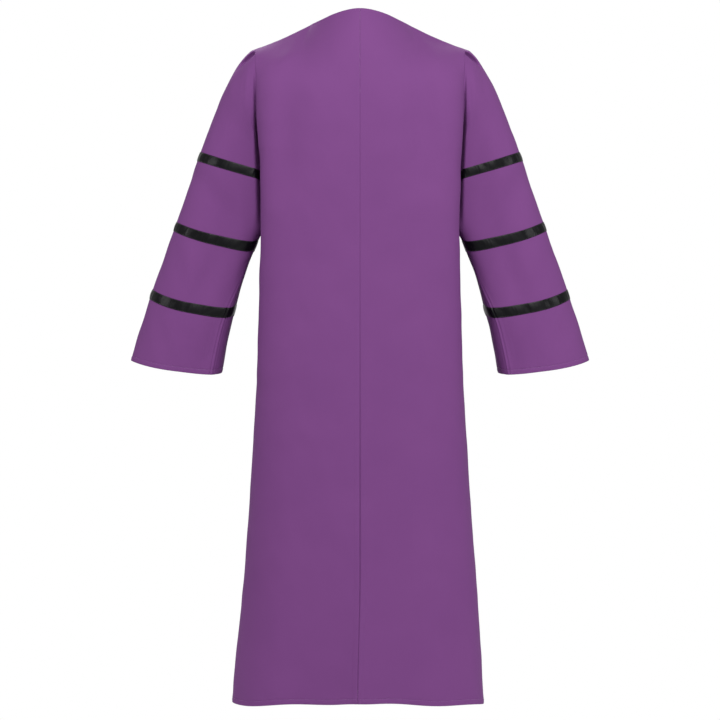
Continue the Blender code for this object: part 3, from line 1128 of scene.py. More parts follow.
FOLDS = {
    (Side.BACK, Half.LEFT): (Fold(0.50, -0.75, 0.004, 0.12), Fold(0.72, -0.85, -0.003, 0.08)),
    (Side.BACK, Half.RIGHT): (Fold(0.42, -0.70, 0.005, 0.14), Fold(0.66, -0.80, -0.004, 0.09)),
    (Side.FRONT, Half.LEFT): (Fold(0.30, -0.60, -0.004, 0.10), Fold(0.55, -0.55, 0.006, 0.12)),
    (Side.FRONT, Half.RIGHT): (Fold(0.34, -0.65, -0.004, 0.10), Fold(0.60, -0.50, 0.006, 0.12)),
}
CREASES = {
    (Side.BACK, Half.LEFT): (
        Crease(0.146, -0.215, 5.0, 0.115, 0.036, -0.0115),
        Crease(0.070, -0.230, 2.0, 0.150, 0.040, 0.0030),
        Crease(0.120, -0.620, -2.0, 0.220, 0.045, -0.0014),
        Crease(0.060, -0.900, 2.0, 0.260, 0.045, 0.0014),
    ),
    (Side.BACK, Half.RIGHT): (
        Crease(0.122, -0.195, 4.0, 0.105, 0.038, -0.0115),
        Crease(0.060, -0.230, -2.0, 0.140, 0.036, 0.0026),
        Crease(0.150, -0.560, 2.0, 0.200, 0.040, -0.0014),
        Crease(0.090, -0.860, -2.0, 0.260, 0.050, 0.0016),
    ),
    (Side.FRONT, Half.LEFT): (
        Crease(0.135, -0.250, 10.0, 0.090, 0.030, -0.0040),
        Crease(0.085, -0.430, 4.0, 0.140, 0.030, -0.0030),
        Crease(0.120, -0.620, -3.0, 0.200, 0.036, 0.0026),
        Crease(0.060, -0.800, -2.0, 0.240, 0.030, -0.0020),
    ),
    (Side.FRONT, Half.RIGHT): (
        Crease(0.128, -0.260, 12.0, 0.090, 0.030, -0.0042),
        Crease(0.092, -0.440, 6.0, 0.150, 0.030, -0.0028),
        Crease(0.130, -0.640, -2.0, 0.210, 0.038, 0.0024),
        Crease(0.080, -0.850, 3.0, 0.240, 0.034, -0.0020),
    ),
}


@dataclass(frozen=True)
class BodyForm:
    """The form that the robe's body keeps, worked out for the wearer's left.

    Attributes:
        hem_dip, hem_dips_from_z: How much lower the hem's sides are, and where that starts.
        neck_side_y, back_neck_y, v_neck_y: The neckline's places from back to front.
        back_neck_round, back_neck_rise, back_neck_bend: Its roundness from above, rise and point.
        press_y, press_flat, press_half: Where the arm presses the side in, flat and at all.
        press_rounds: How often the pressed section is widened back to its width.
        lap_half, lap_end: How far a front laps over, and a share past the end of the lap.
        neck_lean_spread: The share of a panel over which the lean at the neck fades.
    """

    underarm_z: float = -0.250
    hem_z: float = -1.3045
    hem_dip: float = 0.009
    hem_dips_from_z: float = -1.000
    neck_half: float = 0.093
    neck_side_y: float = -0.004
    back_neck_y: float = 0.0718
    back_neck_round: float = 1.6
    back_neck_rise: float = 0.0235
    back_neck_bend: float = 1.4
    v_neck_y: float = -0.104
    v_neck_drop: float = 0.128
    v_neck_bend: float = 1.15
    shoulder_half: float = 0.203
    shoulder_tip_y: float = -0.010
    shoulder_drop: float = 0.0475
    shoulder_hollow: float = 0.0026
    press_y: float = -0.012
    press_flat: float = 0.030
    press_half: float = 0.078
    press_rounds: int = 8
    lap_half: float = 0.0140
    neck_lean_spread: float = 0.30
    lap_end: float = -0.4
    slope_step: float = 0.004
    dense: int = 360

    def section(self, height: float) -> Section:
        """The body's section at a height."""
        table = np.array([astuple(entry) for entry in BODY_SECTIONS])[::-1]
        return Section(height, *smooth_curve(table[:, 0], table[:, 1:], height)[0])

    def row(self, height: float, shares: Array, side: Side) -> Array:
        """Points of a quarter of the body at one height.

        Args:
            height: The height.
            shares: Shares of its length from the centre line; below 0 they lie on the front lap.
            side: The back or the front.

        Returns:
            One point for each share.
        """
        at = self.section(height)
        depth = at.back if side is Side.BACK else at.front
        angle = np.linspace(0.0, math.pi / 2, self.dense)
        y = side.facing * depth * np.maximum(np.cos(angle), 0.0) ** (2 / at.squareness)
        off_press = np.abs(y - self.press_y) - self.press_flat
        press = 1 - ease(off_press / (self.press_half - self.press_flat))
        across = at.half_width * np.sin(angle) ** (2 / at.squareness)
        stretch = 1.0
        for _ in range(self.press_rounds):
            x = stretch * across - (stretch * at.half_width - at.side_half) * press
            stretch *= at.half_width / x.max()
        along = lengths_along(np.stack([x, y], axis=1))
        reach = np.clip(shares, 0.0, 1.0) * along[-1]
        row_x = np.interp(reach, along, x) + np.minimum(shares, 0.0) * self.lap_half
        return np.stack([row_x, np.interp(reach, along, y), np.full(len(shares), height)], axis=1)

    def top_edge(self, shares: Array, side: Side) -> Array:
        """The neckline and then the shoulder seam.

        Args:
            shares: Shares of the panel's top edge from the centre line.
            side: The back or the front.

        Returns:
            One point for each share.
        """
        neck_share = YOKES[side].neck_share
        middle_y = self.back_neck_y if side is Side.BACK else self.v_neck_y
        forward = middle_y - self.neck_side_y
        points = []
        for share in shares:
            if share > 0:
                round_neck = share / neck_share
            else:
                round_neck = share * self.lap_half / self.neck_half
            if round_neck > 1:
                out = (share - neck_share) / (1 - neck_share)
                x = self.neck_half + (self.shoulder_half - self.neck_half) * out
                y = self.neck_side_y + (self.shoulder_tip_y - self.neck_side_y) * out
                z = -self.shoulder_drop * out - self.shoulder_hollow * 4 * out * (1 - out)
            elif side is Side.BACK:
                turn = round_neck * math.pi / 2
                x = self.neck_half * math.sin(turn)
                y = self.neck_side_y + forward * math.cos(turn) ** self.back_neck_round
                z = self.back_neck_rise * (1 - (x / self.neck_half) ** 2) ** self.back_neck_bend
            else:
                x = self.neck_half * round_neck
                y = self.neck_side_y + forward * (1 - round_neck**2)
                z = -self.v_neck_drop * (1 - round_neck) ** self.v_neck_bend
            points.append((x, y, z))
        return np.array(points)

    def armhole_share(self, height: float, side: Side) -> float:
        """The place of the armhole's edge at a height.

        Args:
            height: The height.
            side: The back or the front.

        Returns:
            The share of the quarter's length at which the edge lies.
        """
        yoke = YOKES[side]
        down = min(max((yoke.foot_z - height) / (yoke.foot_z - self.underarm_z), 0.0), 1.0)
        return 1 - (1 - yoke.armhole_share) * math.sqrt(1 - down**2)

    def yoke_rows(self, shares: Array, side: Side, places: Array) -> list[Array]:
        """Rows from the top edge, over the shoulder, to the foot of the yoke.

        Args:
            shares: The columns' shares from the centre line.
            side: The back or the front.
            places: Shares of the way down the yoke.

        Returns:
            One row of points for each place.
        """
        yoke = YOKES[side]
        on_body = gathered(shares, yoke.armhole_share)
        top, foot = self.top_edge(shares, side), self.row(yoke.foot_z, on_body, side)
        above = self.row(yoke.foot_z + self.slope_step, on_body, side)
        below = self.row(yoke.foot_z - self.slope_step, on_body, side)
        rise = unit(above - below)
        falls = [yoke.centre_fall, yoke.centre_fall, yoke.neck_fall, yoke.tip_fall]
        knots = [self.lap_end, 0.0, yoke.neck_share, 1.0]
        fall = np.radians(smooth_curve(knots, falls, shares))
        spread = np.where(shares < yoke.neck_share, yoke.neck_share, self.neck_lean_spread)
        lean = math.radians(yoke.neck_lean) * (1 - ease(np.abs(shares - yoke.neck_share) / spread))
        plan = np.stack([np.sin(lean), side.facing * np.cos(lean), np.zeros_like(lean)], axis=1)
        leave = plan * np.cos(fall)[:, None] - np.sin(fall)[:, None] * (0.0, 0.0, 1.0)
        reach = np.linalg.norm(foot - top, axis=1, keepdims=True) * yoke.reach
        return curve_rows(top, top + leave * reach, foot + rise * reach, foot, places)

    def armhole_heights(self, side: Side, places: Array) -> list[float]:
        """Heights down the lower armhole, at shares of its turn."""
        foot = YOKES[side].foot_z
        return [foot + (self.underarm_z - foot) * math.sin(place * math.pi / 2) for place in places]


def gathered(shares: Array, last: float) -> Array:
    """Shares drawn in so that the last lies at the armhole's edge; the first hardly move."""
    return shares - (1 - last) * np.maximum(shares, 0.0) ** 3


@dataclass
class BodyPanel(ClothPiece):
    """One of the four panels of the body, with its hem, seams, folds and creases.

    Attributes:
        centre_seam_strength: How strongly the centre-back seam shows above and below.
        centre_seam_deepens: The height where it starts to deepen, and the height this takes.
        hem_corner: How much of the hem's shape is left at the panel's edges.
        join_fade: How near to an edge the forms of another edge end.
        wave_starts: What sets the waves of left and right, and of back and front, apart.
        crease_fades: How near to the side, the top and the centre the creases fade.
        corner_lift, corner_reach: How far and how wide the hem is drawn up at the left side.
        lap_lift, lap_flat_to, lap_fade_to: How far the right front is lifted, and how wide.
    """

    side: Side
    half: Half
    form: BodyForm
    seam: Seam = Seam()
    centre_seam_strength: Pair = (0.45, 2.2)
    centre_seam_deepens: Pair = (-0.35, 0.80)
    hem: Hem = Hem()
    hem_corner: float = 0.35
    front_edge: Hem = Hem(0.0065, 0.0078, 0.00035, 0.0009, 0.00020, 0.00008, 0.019, 0.4)
    lap_columns: int = 12
    seam_gap: float = 0.00002
    join_fade: float = 0.004
    shoulder_change: float = 0.012
    ridge_depth: float = 0.021
    ridge_spreads: Pair = (0.058, 0.095)
    ridge_from_z: float = -0.900
    handling: Handling = Handling()
    handling_fade: float = 0.035
    edge_flat: float = 0.030
    wave_starts: Pair = (1.9, 0.8)
    crease_fades: Triple = (0.030, 0.040, 0.020)
    hem_wave: float = 0.0014
    hem_wave_step: float = 0.160
    hem_wave_fade: float = 0.070
    hem_wave_ends: float = 0.05
    corner_lift: float = 0.0045
    corner_reach: float = 0.0075
    sway: float = 0.0045
    sway_from_z: float = -1.050
    lap_lift: float = 0.0027
    lap_flat_to: float = 0.018
    lap_fade_to: float = 0.040
    yoke_places: Array = field(
        default_factory=lambda: graded(0.180, step=0.006, start=0.010, fine=0.0014)
    )
    armhole_places: Array = field(default_factory=lambda: graded(0.110, step=0.005)[1:])

    def __post_init__(self) -> None:
        """Works out the columns and the rows' heights, and shapes the panel."""
        quarter = graded(0.300, step=0.0055, start=0.015, end=0.009, fine=0.0011)
        lap = np.linspace(-1.0, 0.0, self.lap_columns)[:-1]
        self.shares = quarter if self.side is Side.BACK else np.concatenate([lap, quarter])
        self.pit_row = len(self.yoke_places) - 1 + len(self.armhole_places)
        self.surface = self.shaped()

    @property
    def name(self) -> str:
        """The name of the CAD node that the panel stands for."""
        return f"{self.side.value}_{self.half.value}"

    @property
    def neck_column(self) -> int:
        """The column nearest the side of the neck."""
        return int(np.abs(self.shares - YOKES[self.side].neck_share).argmin())

    def rows(self) -> Array:
        """The panel's points before folds and creases.

        Returns:
            Rows from the centre line to the outer edge.
        """
        form, side = self.form, self.side
        rows = form.yoke_rows(self.shares, side, self.yoke_places)
        skirt = form.underarm_z - form.hem_z
        skirt_places = graded(skirt, step=0.0068, start=0.012, end=0.018, fine=0.0011)[1:]
        heights = form.armhole_heights(side, self.armhole_places)
        heights += [form.underarm_z - skirt * place for place in skirt_places]
        for height in heights:
            row = form.row(height, gathered(self.shares, form.armhole_share(height, side)), side)
            dip = ease((form.hem_dips_from_z - height) / (form.hem_dips_from_z - form.hem_z))
            row[:, 2] -= form.hem_dip * dip * ease(self.shares)
            rows.append(row)
        return np.array(rows)

    def level_lap(self, points: Array) -> None:
        """Gives the lap beyond the centre line the depth of the cloth on the line's other side.

        Args:
            points: The panel's points; those of the lap move.
        """
        for column in np.flatnonzero(self.shares < 0):
            beyond = -points[-1, column, 0]
            depths = np.array([np.interp(beyond, row[:, 0], row[:, 1]) for row in points])
            heights = np.array([np.interp(beyond, row[:, 0], row[:, 2]) for row in points])
            points[:, column, 1] = np.interp(points[:, column, 2], heights[::-1], depths[::-1])

    def fold_out(self, points: Array) -> Array:
        """How far the skirt's folds and the ridge of the centre-back seam stand out.

        Args:
            points: The panel's points.

        Returns:
            A distance for each point.
        """
        height = points[..., 2]
        out = np.zeros(height.shape)
        for fold in FOLDS[self.side, self.half]:
            fade = ease((fold.from_z - height) / (fold.from_z - self.form.hem_z))
            out += fold.depth * bell(self.shares[None] - fold.share, fold.width) * fade
        if self.side is Side.BACK:
            fade = ease((self.ridge_from_z - height) / (self.ridge_from_z - self.form.hem_z))
            spread = self.ridge_spreads[list(Half).index(self.half)]
            out += self.ridge_depth * np.exp(-np.abs(points[..., 0]) / spread) * fade
        return out

    def looks(self, points: Array) -> Array:
        """The way the panel faces at each point."""
        return grid_normals(points) * -self.side.facing

    def shaped(self) -> Surface:
        """Shapes the panel with its folds and lap.

        Returns:
            The panel's face, ready to be seamed.
        """
        points = self.rows()
        if self.side is Side.FRONT:
            self.level_lap(points)
        points = points + self.looks(points) * self.fold_out(points)[..., None]
        if self.side is Side.FRONT and self.half is Half.RIGHT:
            inside = (self.lap_fade_to - points[..., 0]) / (self.lap_fade_to - self.lap_flat_to)
            points = points + self.looks(points) * (self.lap_lift * ease(inside))[..., None]
        normals = self.looks(points)
        if self.side is Side.BACK:
            normals[:, 0, 0] = 0.0
            points[:, 0, 0] = self.seam_gap / 2
        return Surface(points, unit(normals))

    def on_shoulder(self) -> Array:
        """0 at the neckline's columns and 1 at the shoulder's, with a short change between."""
        across = self.surface.across()
        past = across[:1] - across[0, self.neck_column] + self.shoulder_change / 2
        return np.broadcast_to(ease(past / self.shoulder_change), across.shape)

    def sewing(self) -> list[tuple["Seam | Hem", Array, Array, "Array | float"]]:
        """The panel's plain seams and turned edges.

        Returns:
            For each, how it is sewn, the distances from it, the places along it and its strength.
        """
        surface = self.surface
        across, down, above = surface.across(), surface.down(), surface.from_hem()
        side, on_shoulder = surface.from_last(), self.on_shoulder()
        inside = ease(side / self.join_fade)
        side[: self.pit_row] = 1.0
        found = [(self.seam, side, down, 1.0), (self.seam, down, across, on_shoulder)]
        if self.side is Side.BACK:
            deepens_z, over = self.centre_seam_deepens
            top, low = self.centre_seam_strength
            lower = ease((deepens_z - surface.points[..., 2]) / over)
            found.append((self.seam, across, down, top + (low - top) * lower))
            inside = inside * ease(across / self.join_fade)
        found.append((self.hem, above, across, self.hem_corner + (1 - self.hem_corner) * inside))
        found.append((self.front_edge, down, across, 1 - on_shoulder))
        if self.side is Side.FRONT:
            found.append((self.front_edge, across, down, ease(above / self.join_fade)))
        return found

    def hem_lift(self, start: float) -> Array:
        """How far each point near the hem is drawn up, in slow waves and at the left side seam.

        Args:
            start: A number that makes the panel's waves its own.

        Returns:
            A distance for each point.
        """
        surface = self.surface
        across, last, above = surface.across(), surface.from_last(), surface.from_hem()
        wave = np.sin(math.tau * across / self.hem_wave_step + start)
        lift = self.hem_wave * wave * ease(last / self.hem_wave_ends)
        lift = lift * ease((across + self.join_fade) / self.hem_wave_ends)
        lift = lift * (1 - ease(above / self.hem_wave_fade))
        if self.half is Half.LEFT:
            low = 1 - ease(above / (3 * self.corner_reach))
            lift += self.corner_lift * bell(last, self.corner_reach) * low
        return lift

    def dressed(self) -> tuple[Surface, Array]:
        """The finished outer face and the wall's thickness.

        Returns:
            The face, and the thickness at each point.
        """
        surface = self.surface
        across, down, last = surface.across(), surface.down(), surface.from_last()
        clear = 1.0
        for distance, fade in zip((last, down, across + self.join_fade), self.crease_fades):
            clear = clear * ease(distance / fade)
        out, backing = np.zeros(across.shape), np.zeros(across.shape)
        for crease in CREASES[self.side, self.half]:
            out += crease.out(surface.points) * clear
        for sewn, distance, along, share in self.sewing():
            out += sewn.out(distance, along) * share
            backing = np.maximum(backing, sewn.backing(distance) * share)
        armhole = surface.from_last()
        armhole[self.pit_row + 1 :] = 1.0
        out += self.seam.armhole_out(armhole, surface.points[..., 2])
        backing = np.maximum(backing, self.seam.backing(armhole))
        start = self.wave_starts[0] * self.half.way + self.wave_starts[1] * self.side.facing
        inside = across + (self.join_fade if self.side is Side.BACK else -self.edge_flat)
        fade = ease(inside / self.handling_fade)
        out += self.handling.out(across, down, start) * ease(last / self.handling_fade) * fade
        points = surface.moved(out).points
        points[..., 2] += self.hem_lift(start)
        height = points[..., 2]
        sway = self.sway * ease((self.sway_from_z - height) / (self.sway_from_z - self.form.hem_z))
        points = points + sway[..., None] * (self.half.way, 0.0, 0.0)
        return Surface(points, surface.normals), self.cloth_thick + self.allowance_thick * backing

    def stitched(self, surface: Surface) -> list[Run]:
        """The lines of stitches along the hem and a front edge.

        Args:
            surface: The finished face.

        Returns:
            The lines.
        """
        runs = [surface.line_round(surface.from_hem(), self.hem.width)]
        if self.side is Side.FRONT:
            runs.append(surface.line_down(surface.across(), self.front_edge.width))
        return runs


def share_seams(back: BodyPanel, front: BodyPanel) -> None:
    """Gives two panels one normal where they meet, and half the seam gap each.

    Args:
        back: The back panel.
        front: The front panel on the same side.
    """
    gap = back.seam_gap
    rows = slice(back.pit_row, None)
    behind, before = back.surface, front.surface
    shared = unit(behind.normals[rows, -1] + before.normals[rows, -1])
    behind.normals[rows, -1] = before.normals[rows, -1] = shared
    behind.points[rows, -1, 1] += gap / 2
    before.points[rows, -1, 1] -= gap / 2
    for panel, way in ((back, 1), (front, -1)):
        top = panel.surface.normals[0, panel.neck_column :]
        top[:, 1] = 0.0
        top[:, 0] = np.maximum(top[:, 0], 0.0)
        panel.surface.normals[0, panel.neck_column :] = unit(top)
        panel.surface.points[0, panel.neck_column :, 1] += way * gap / 2
    shared = unit(behind.normals[0, -1] + before.normals[0, -1])
    behind.normals[0, -1] = before.normals[0, -1] = shared


# ---- the sleeves


@dataclass(frozen=True)
class Ring:
    """One ring of the sleeve below its head.

    Attributes:
        half_depth, centre_y: Half its depth from back to front, and its middle's place.
        sag: How far its back and front hang below the line between its edges.
    """

    outer_x: float
    outer_z: float
    inner_x: float
    inner_z: float
    half_depth: float
    centre_y: float
    sag: float


SLEEVE_RINGS = (
    Ring(0.2793, -0.1680, 0.1770, -0.2700, 0.057, -0.008, 0.002),
    Ring(0.2972, -0.2140, 0.1765, -0.2790, 0.056, -0.009, 0.002),
    Ring(0.3093, -0.2485, 0.1760, -0.2880, 0.056, -0.010, 0.003),
    Ring(0.3160, -0.2660, 0.1755, -0.3060, 0.056, -0.010, 0.003),
    Ring(0.3280, -0.3025, 0.1740, -0.3370, 0.056, -0.012, 0.004),
    Ring(0.3420, -0.3430, 0.1745, -0.3740, 0.057, -0.015, 0.006),
    Ring(0.3560, -0.3837, 0.1990, -0.4180, 0.058, -0.018, 0.010),
    Ring(0.3622, -0.4010, 0.2070, -0.4377, 0.058, -0.019, 0.010),
    Ring(0.3820, -0.4550, 0.2260, -0.4890, 0.060, -0.022, 0.012),
    Ring(0.4028, -0.5147, 0.2412, -0.5424, 0.063, -0.025, 0.014),
    Ring(0.4091, -0.5327, 0.2465, -0.5624, 0.064, -0.026, 0.014),
    Ring(0.4285, -0.5920, 0.2588, -0.6180, 0.067, -0.030, 0.012),
    Ring(0.4464, -0.6526, 0.2700, -0.6750, 0.070, -0.034, 0.010),
)


@dataclass(frozen=True)
class Leave:
    """The way in which the sleeve leaves its armhole at one place round it."""

    out: float
    back: float
    down: float
    reach: float


@dataclass(frozen=True)
class Pleat:
    """A pleat at the sleeve's crown: the cloth rolls over a lip, back under it and out again.

    Attributes:
        off, drift: Its distance from the crest at the seam, and how that changes further down.
        over, lip: How far the lip reaches over the cloth below it, and how far it stands up.
        depth: How deep the cloth lies under the lip.
        roll, soft: Half the width of the rolled part, and the width of the slope back out.
        starts, full_to, ends: Where it is fully formed, where it starts to open, and is flat.
        lip_place: How far before its edge the lip stands up and how wide that is, in rolls.
    """

    off: float = 0.0165
    drift: float = -0.0035
    over: float = 0.0060
    lip: float = 0.0016
    depth: float = 0.0076
    roll: float = 0.0026
    soft: float = 0.0105
    starts: float = 0.0045
    full_to: float = 0.0190
    ends: float = 0.0560
    lip_place: Pair = (1.6, 1.8)

    def shift(self, off_crest: Array, from_seam: Array) -> tuple[Array, Array]:
        """How far it moves each point.

        Args:
            off_crest: Each point's distance round from the crest.
            from_seam: Its distance down from the armhole seam.

        Returns:
            How far the point moves round, away from the crest, and how far out.
        """
        line = self.off + self.drift * np.clip(from_seam / self.ends, 0.0, 1.0)
        beside = off_crest - line
        fade = 1 - ease((from_seam - self.full_to) / (self.ends - self.full_to))
        fade = fade * ease(from_seam / self.starts)
        turn = -np.tanh(beside / self.roll) * bell(beside, self.soft)
        hollow = beside - self.roll
        width = np.where(hollow < 0, self.roll, self.soft)
        off, wide = self.lip_place
        rise = self.lip * bell(beside + off * self.roll, wide * self.roll)
        return self.over * turn * fade, (rise - self.depth * bell(hollow, width)) * fade


@dataclass(frozen=True)
class Crevice:
    """The narrow fold in which the sleeve's cloth goes in beside the body's edge.

    Attributes:
        from_z, full_z: The heights at which it starts and is at its deepest.
        fades_z, ends_z: The heights at which it starts to grow shallow and ends.
        depth, at: How deep cloth goes in that lies so far from the sleeve's middle.
        width, top_width: How far its wall stands from the body, and the share at its top.
    """

    from_z: float = -0.078
    full_z: float = -0.230
    fades_z: float = -0.350
    ends_z: float = -0.405
    depth: float = 0.018
    at: float = 0.045
    width: float = 0.0072
    top_width: float = 0.40
    clear: float = 0.0030

    @staticmethod
    def off_body(points: Array) -> Array:
        """How far each point lies outside the body's edge at its height."""
        table = np.array([astuple(section)[:2] for section in BODY_SECTIONS])[::-1]
        return points[..., 0] - np.interp(points[..., 2], table[:, 0], table[:, 1])

    def shift(self, points: Array, from_seam: Array) -> Array:
        """How far the cloth goes in, forwards behind and backwards in front.

        Args:
            points: The sleeve's points.
            from_seam: Each point's distance from the armhole seam.

        Returns:
            A distance for each point.
        """
        height = points[..., 2]
        upper = ease((self.from_z - height) / (self.from_z - self.full_z))
        lower = 1 - ease((self.fades_z - height) / (self.fades_z - self.ends_z))
        share = self.top_width + (1 - self.top_width) * upper
        wall = 1 - ease(self.off_body(points) / (self.width * share))
        middle = (points[..., 1].max(axis=1) + points[..., 1].min(axis=1))[:, None] / 2
        share = (points[..., 1] - middle) / self.at
        return self.depth * share * upper * lower * wall * ease(from_seam / self.clear)


COLUMN_RUNS = (
    (0.0, 0.0050, 0.0020),
    (0.0060, 0.0290, 0.0010),
    (0.0300, 0.0630, 0.0022),
    (0.0640, 0.1340, 0.0040),
    (0.1350, 0.1900, 0.0021),
    (0.1930, 0.2040, 0.0040),
)
SLEEVE_CREASES = {
    (Side.BACK, Half.LEFT): (
        Crease(0.237, -0.112, 6.0, 0.042, 0.0085, -0.0020),
        Crease(0.2185, -0.118, 5.0, 0.036, 0.0050, 0.0010),
        Crease(0.2120, -0.142, 3.0, 0.024, 0.0022, -0.0005),
        Crease(0.2240, -0.128, 5.0, 0.026, 0.0024, -0.0005),
        Crease(0.270, -0.190, 16.0, 0.052, 0.019, -0.0034),
        Crease(0.276, -0.345, -35.0, 0.075, 0.019, -0.0046),
        Crease(0.297, -0.492, 20.0, 0.060, 0.020, -0.0040),
        Crease(0.330, -0.455, -28.0, 0.060, 0.024, 0.0020),
        Crease(0.289, -0.622, 16.0, 0.058, 0.019, -0.0040),
        Crease(0.345, -0.612, 18.0, 0.060, 0.026, 0.0022),
    ),
    (Side.FRONT, Half.LEFT): (
        Crease(0.262, -0.205, 24.0, 0.070, 0.022, -0.0022),
        Crease(0.276, -0.340, -34.0, 0.080, 0.022, -0.0022),
        Crease(0.310, -0.470, -28.0, 0.080, 0.022, -0.0022),
    ),
    (Side.BACK, Half.RIGHT): (
        Crease(0.239, -0.112, 7.0, 0.044, 0.0090, -0.0020),
        Crease(0.2190, -0.116, 5.0, 0.038, 0.0055, 0.0010),
        Crease(0.2125, -0.146, 3.0, 0.026, 0.0024, -0.0005),
        Crease(0.268, -0.192, 16.0, 0.054, 0.020, -0.0032),
        Crease(0.280, -0.350, -33.0, 0.080, 0.020, -0.0044),
        Crease(0.300, -0.497, 18.0, 0.060, 0.021, -0.0036),
        Crease(0.332, -0.462, -26.0, 0.060, 0.024, 0.0018),
        Crease(0.290, -0.625, 15.0, 0.058, 0.020, -0.0036),
        Crease(0.344, -0.615, 17.0, 0.060, 0.026, 0.0020),
    ),
    (Side.FRONT, Half.RIGHT): (
        Crease(0.262, -0.200, 24.0, 0.070, 0.022, -0.0022),
        Crease(0.280, -0.350, -36.0, 0.085, 0.024, -0.0022),
        Crease(0.306, -0.465, -30.0, 0.080, 0.022, -0.0022),
    ),
}


@dataclass
class Sleeve(ClothPiece):
    """A set-in open sleeve, pleated at its crown, with three ribbon bars round it.

    Attributes:
        squareness: 2 for an oval ring, and more for a squarer one.
        inner_squareness: The same for the side beside the body, at the cuff and at the top.
        leaves: How it leaves the armhole at the crest, behind, at the foot and in front.
        head_arrives: How far its head holds the way of the first ring, as a share of itself.
        half_girth: Half of the girth that the columns' places are given for.
        foot_reach, foot_step, foot_free: Where columns lie close beside the armhole's foot.
        crest_run: Where the crown's puff is full, starts to fade, and the fade's length.
        lower_from, lower_over, lower_flat: Where the underarm seam shows more, and flatter.
        seam_swings_back: How far that seam swings to the back, as a share of the girth.
    """

    half: Half
    back: BodyPanel
    front: BodyPanel
    seam: Seam = Seam()
    cuff: Hem = Hem()
    pleat: Pleat = Pleat()
    crevice: Crevice = Crevice()
    squareness: float = 2.3
    inner_squareness: Pair = (4.8, 4.0)
    bar_rings: tuple[tuple[int, int], ...] = ((2, 3), (6, 7), (9, 10))
    leaves: tuple[Leave, ...] = (
        Leave(0.81, 0.00, 0.58, 0.33),
        Leave(0.80, 0.10, 0.60, 0.40),
        Leave(0.80, 0.00, -0.60, 0.30),
        Leave(0.80, -0.10, 0.60, 0.40),
    )
    head_arrives: float = 0.36
    half_girth: float = 0.2120
    foot_reach: float = 0.0075
    foot_step: float = 0.0011
    foot_free: float = 0.4985
    row_step: float = 0.0052
    bar_row_step: float = 0.0024
    crest_puff: float = 0.0024
    crest_spread: float = 0.020
    crest_run: Triple = (0.010, 0.020, 0.060)
    crease_clear: float = 0.012
    seen: Pair = (-0.05, 0.35)
    handling: Handling = Handling()
    handling_fade: float = 0.03
    wave_start: float = 2.3
    lower_from: float = 0.20
    lower_over: float = 0.12
    lower_flat: float = 0.55
    seam_swings_back: float = 0.125
    seam_swings_from: float = 0.20
    seam_swings_to: float = 0.80
    seam_ridge: float = 0.0028
    seam_ridge_spread: float = 0.0080
    seam_crinkle: float = 0.00050
    seam_crinkle_step: float = 0.0062
    seam_crinkle_reach: float = 2.2
    dense: int = 720

    def __post_init__(self) -> None:
        """Works out the columns and the head's rows, and shapes the sleeve."""
        runs = [np.arange(*run) for run in COLUMN_RUNS]
        runs.append(self.half_girth - np.arange(self.foot_reach, 0.0, -self.foot_step))
        side = np.concatenate(runs) / self.half_girth / 2
        side = side[side < self.foot_free]
        self.columns = np.concatenate([side, [0.5], (1 - side[1:])[::-1]])
        self.head_places = graded(0.130, step=0.0048, start=0.044, fine=0.0016)[:-1]
        self.surface = self.shaped()

    @property
    def name(self) -> str:
        """The name of the CAD node that the sleeve stands for."""
        return f"sleeve_{self.half.value}"

    @property
    def seam_column(self) -> int:
        """The column of the underarm seam."""
        return int(np.abs(self.columns - 0.5).argmin())

    def armhole(self, behind: Array, before: Array) -> Array:
        """Values round the armhole.

        Args:
            behind: The back panel's values.
            before: The front panel's.

        Returns:
            One value for each point, from the crest behind and round to the crest again.
        """
        behind = behind[: self.back.pit_row + 1, -1]
        before = before[: self.front.pit_row + 1, -1][::-1]
        crest, pit = (behind[:1] + before[-1:]) / 2, (behind[-1:] + before[:1]) / 2
        return np.concatenate([crest, behind[1:-1], pit, before[1:-1], crest])

    def girth_shares(self, points: Array) -> Array:
        """The places of the armhole's points round the sleeve.

        Args:
            points: The points.

        Returns:
            Shares of the sleeve's girth: 0 at the crest, a half at the foot and 1 at the crest.
        """
        pit = self.back.pit_row
        runs = [lengths_along(run) for run in (points[: pit + 1], points[pit:])]
        return np.concatenate([runs[0] / runs[0][-1] / 2, 0.5 + (runs[1] / runs[1][-1] / 2)[1:]])

    def swung(self, down: float) -> Array:
        """The columns' shares, with the underarm seam swinging to the back.

        Args:
            down: The share of the way down.

        Returns:
            One share of the girth for each column.
        """
        way = (down - self.seam_swings_from) / (self.seam_swings_to - self.seam_swings_from)
        swing = self.seam_swings_back * float(ease(np.array(way)))
        return np.interp(self.columns, [0.0, 0.5, 1.0], [0.0, 0.5 - swing, 1.0])

    def ring(self, ring: Ring, shares: Array) -> Array:
        """Points of one ring, by share of its girth from the crest, going behind first.

        Args:
            ring: The ring.
            shares: The shares wanted.

        Returns:
            One point for each share.
        """
        angle = np.linspace(0.0, 2 * math.pi, self.dense + 1)
        heights = SLEEVE_RINGS[-1].outer_z, SLEEVE_RINGS[0].outer_z
        inner_squareness = np.interp(ring.outer_z, heights, self.inner_squareness[::-1])
        power = 2 / np.where(np.cos(angle) < 0, inner_squareness, self.squareness)
        over = np.sign(np.cos(angle)) * np.abs(np.cos(angle)) ** power
        behind = np.sign(np.sin(angle)) * np.abs(np.sin(angle)) ** power
        outer = np.array([ring.outer_x, ring.centre_y, ring.outer_z])
        inner = np.array([ring.inner_x, ring.centre_y, ring.inner_z])
        dense = (outer + inner) / 2 + over[:, None] * (outer - inner) / 2
        dense[:, 1] += behind * ring.half_depth
        dense[:, 2] -= behind**2 * ring.sag
        along = lengths_along(dense)
        return read_along(along / along[-1], dense, shares)

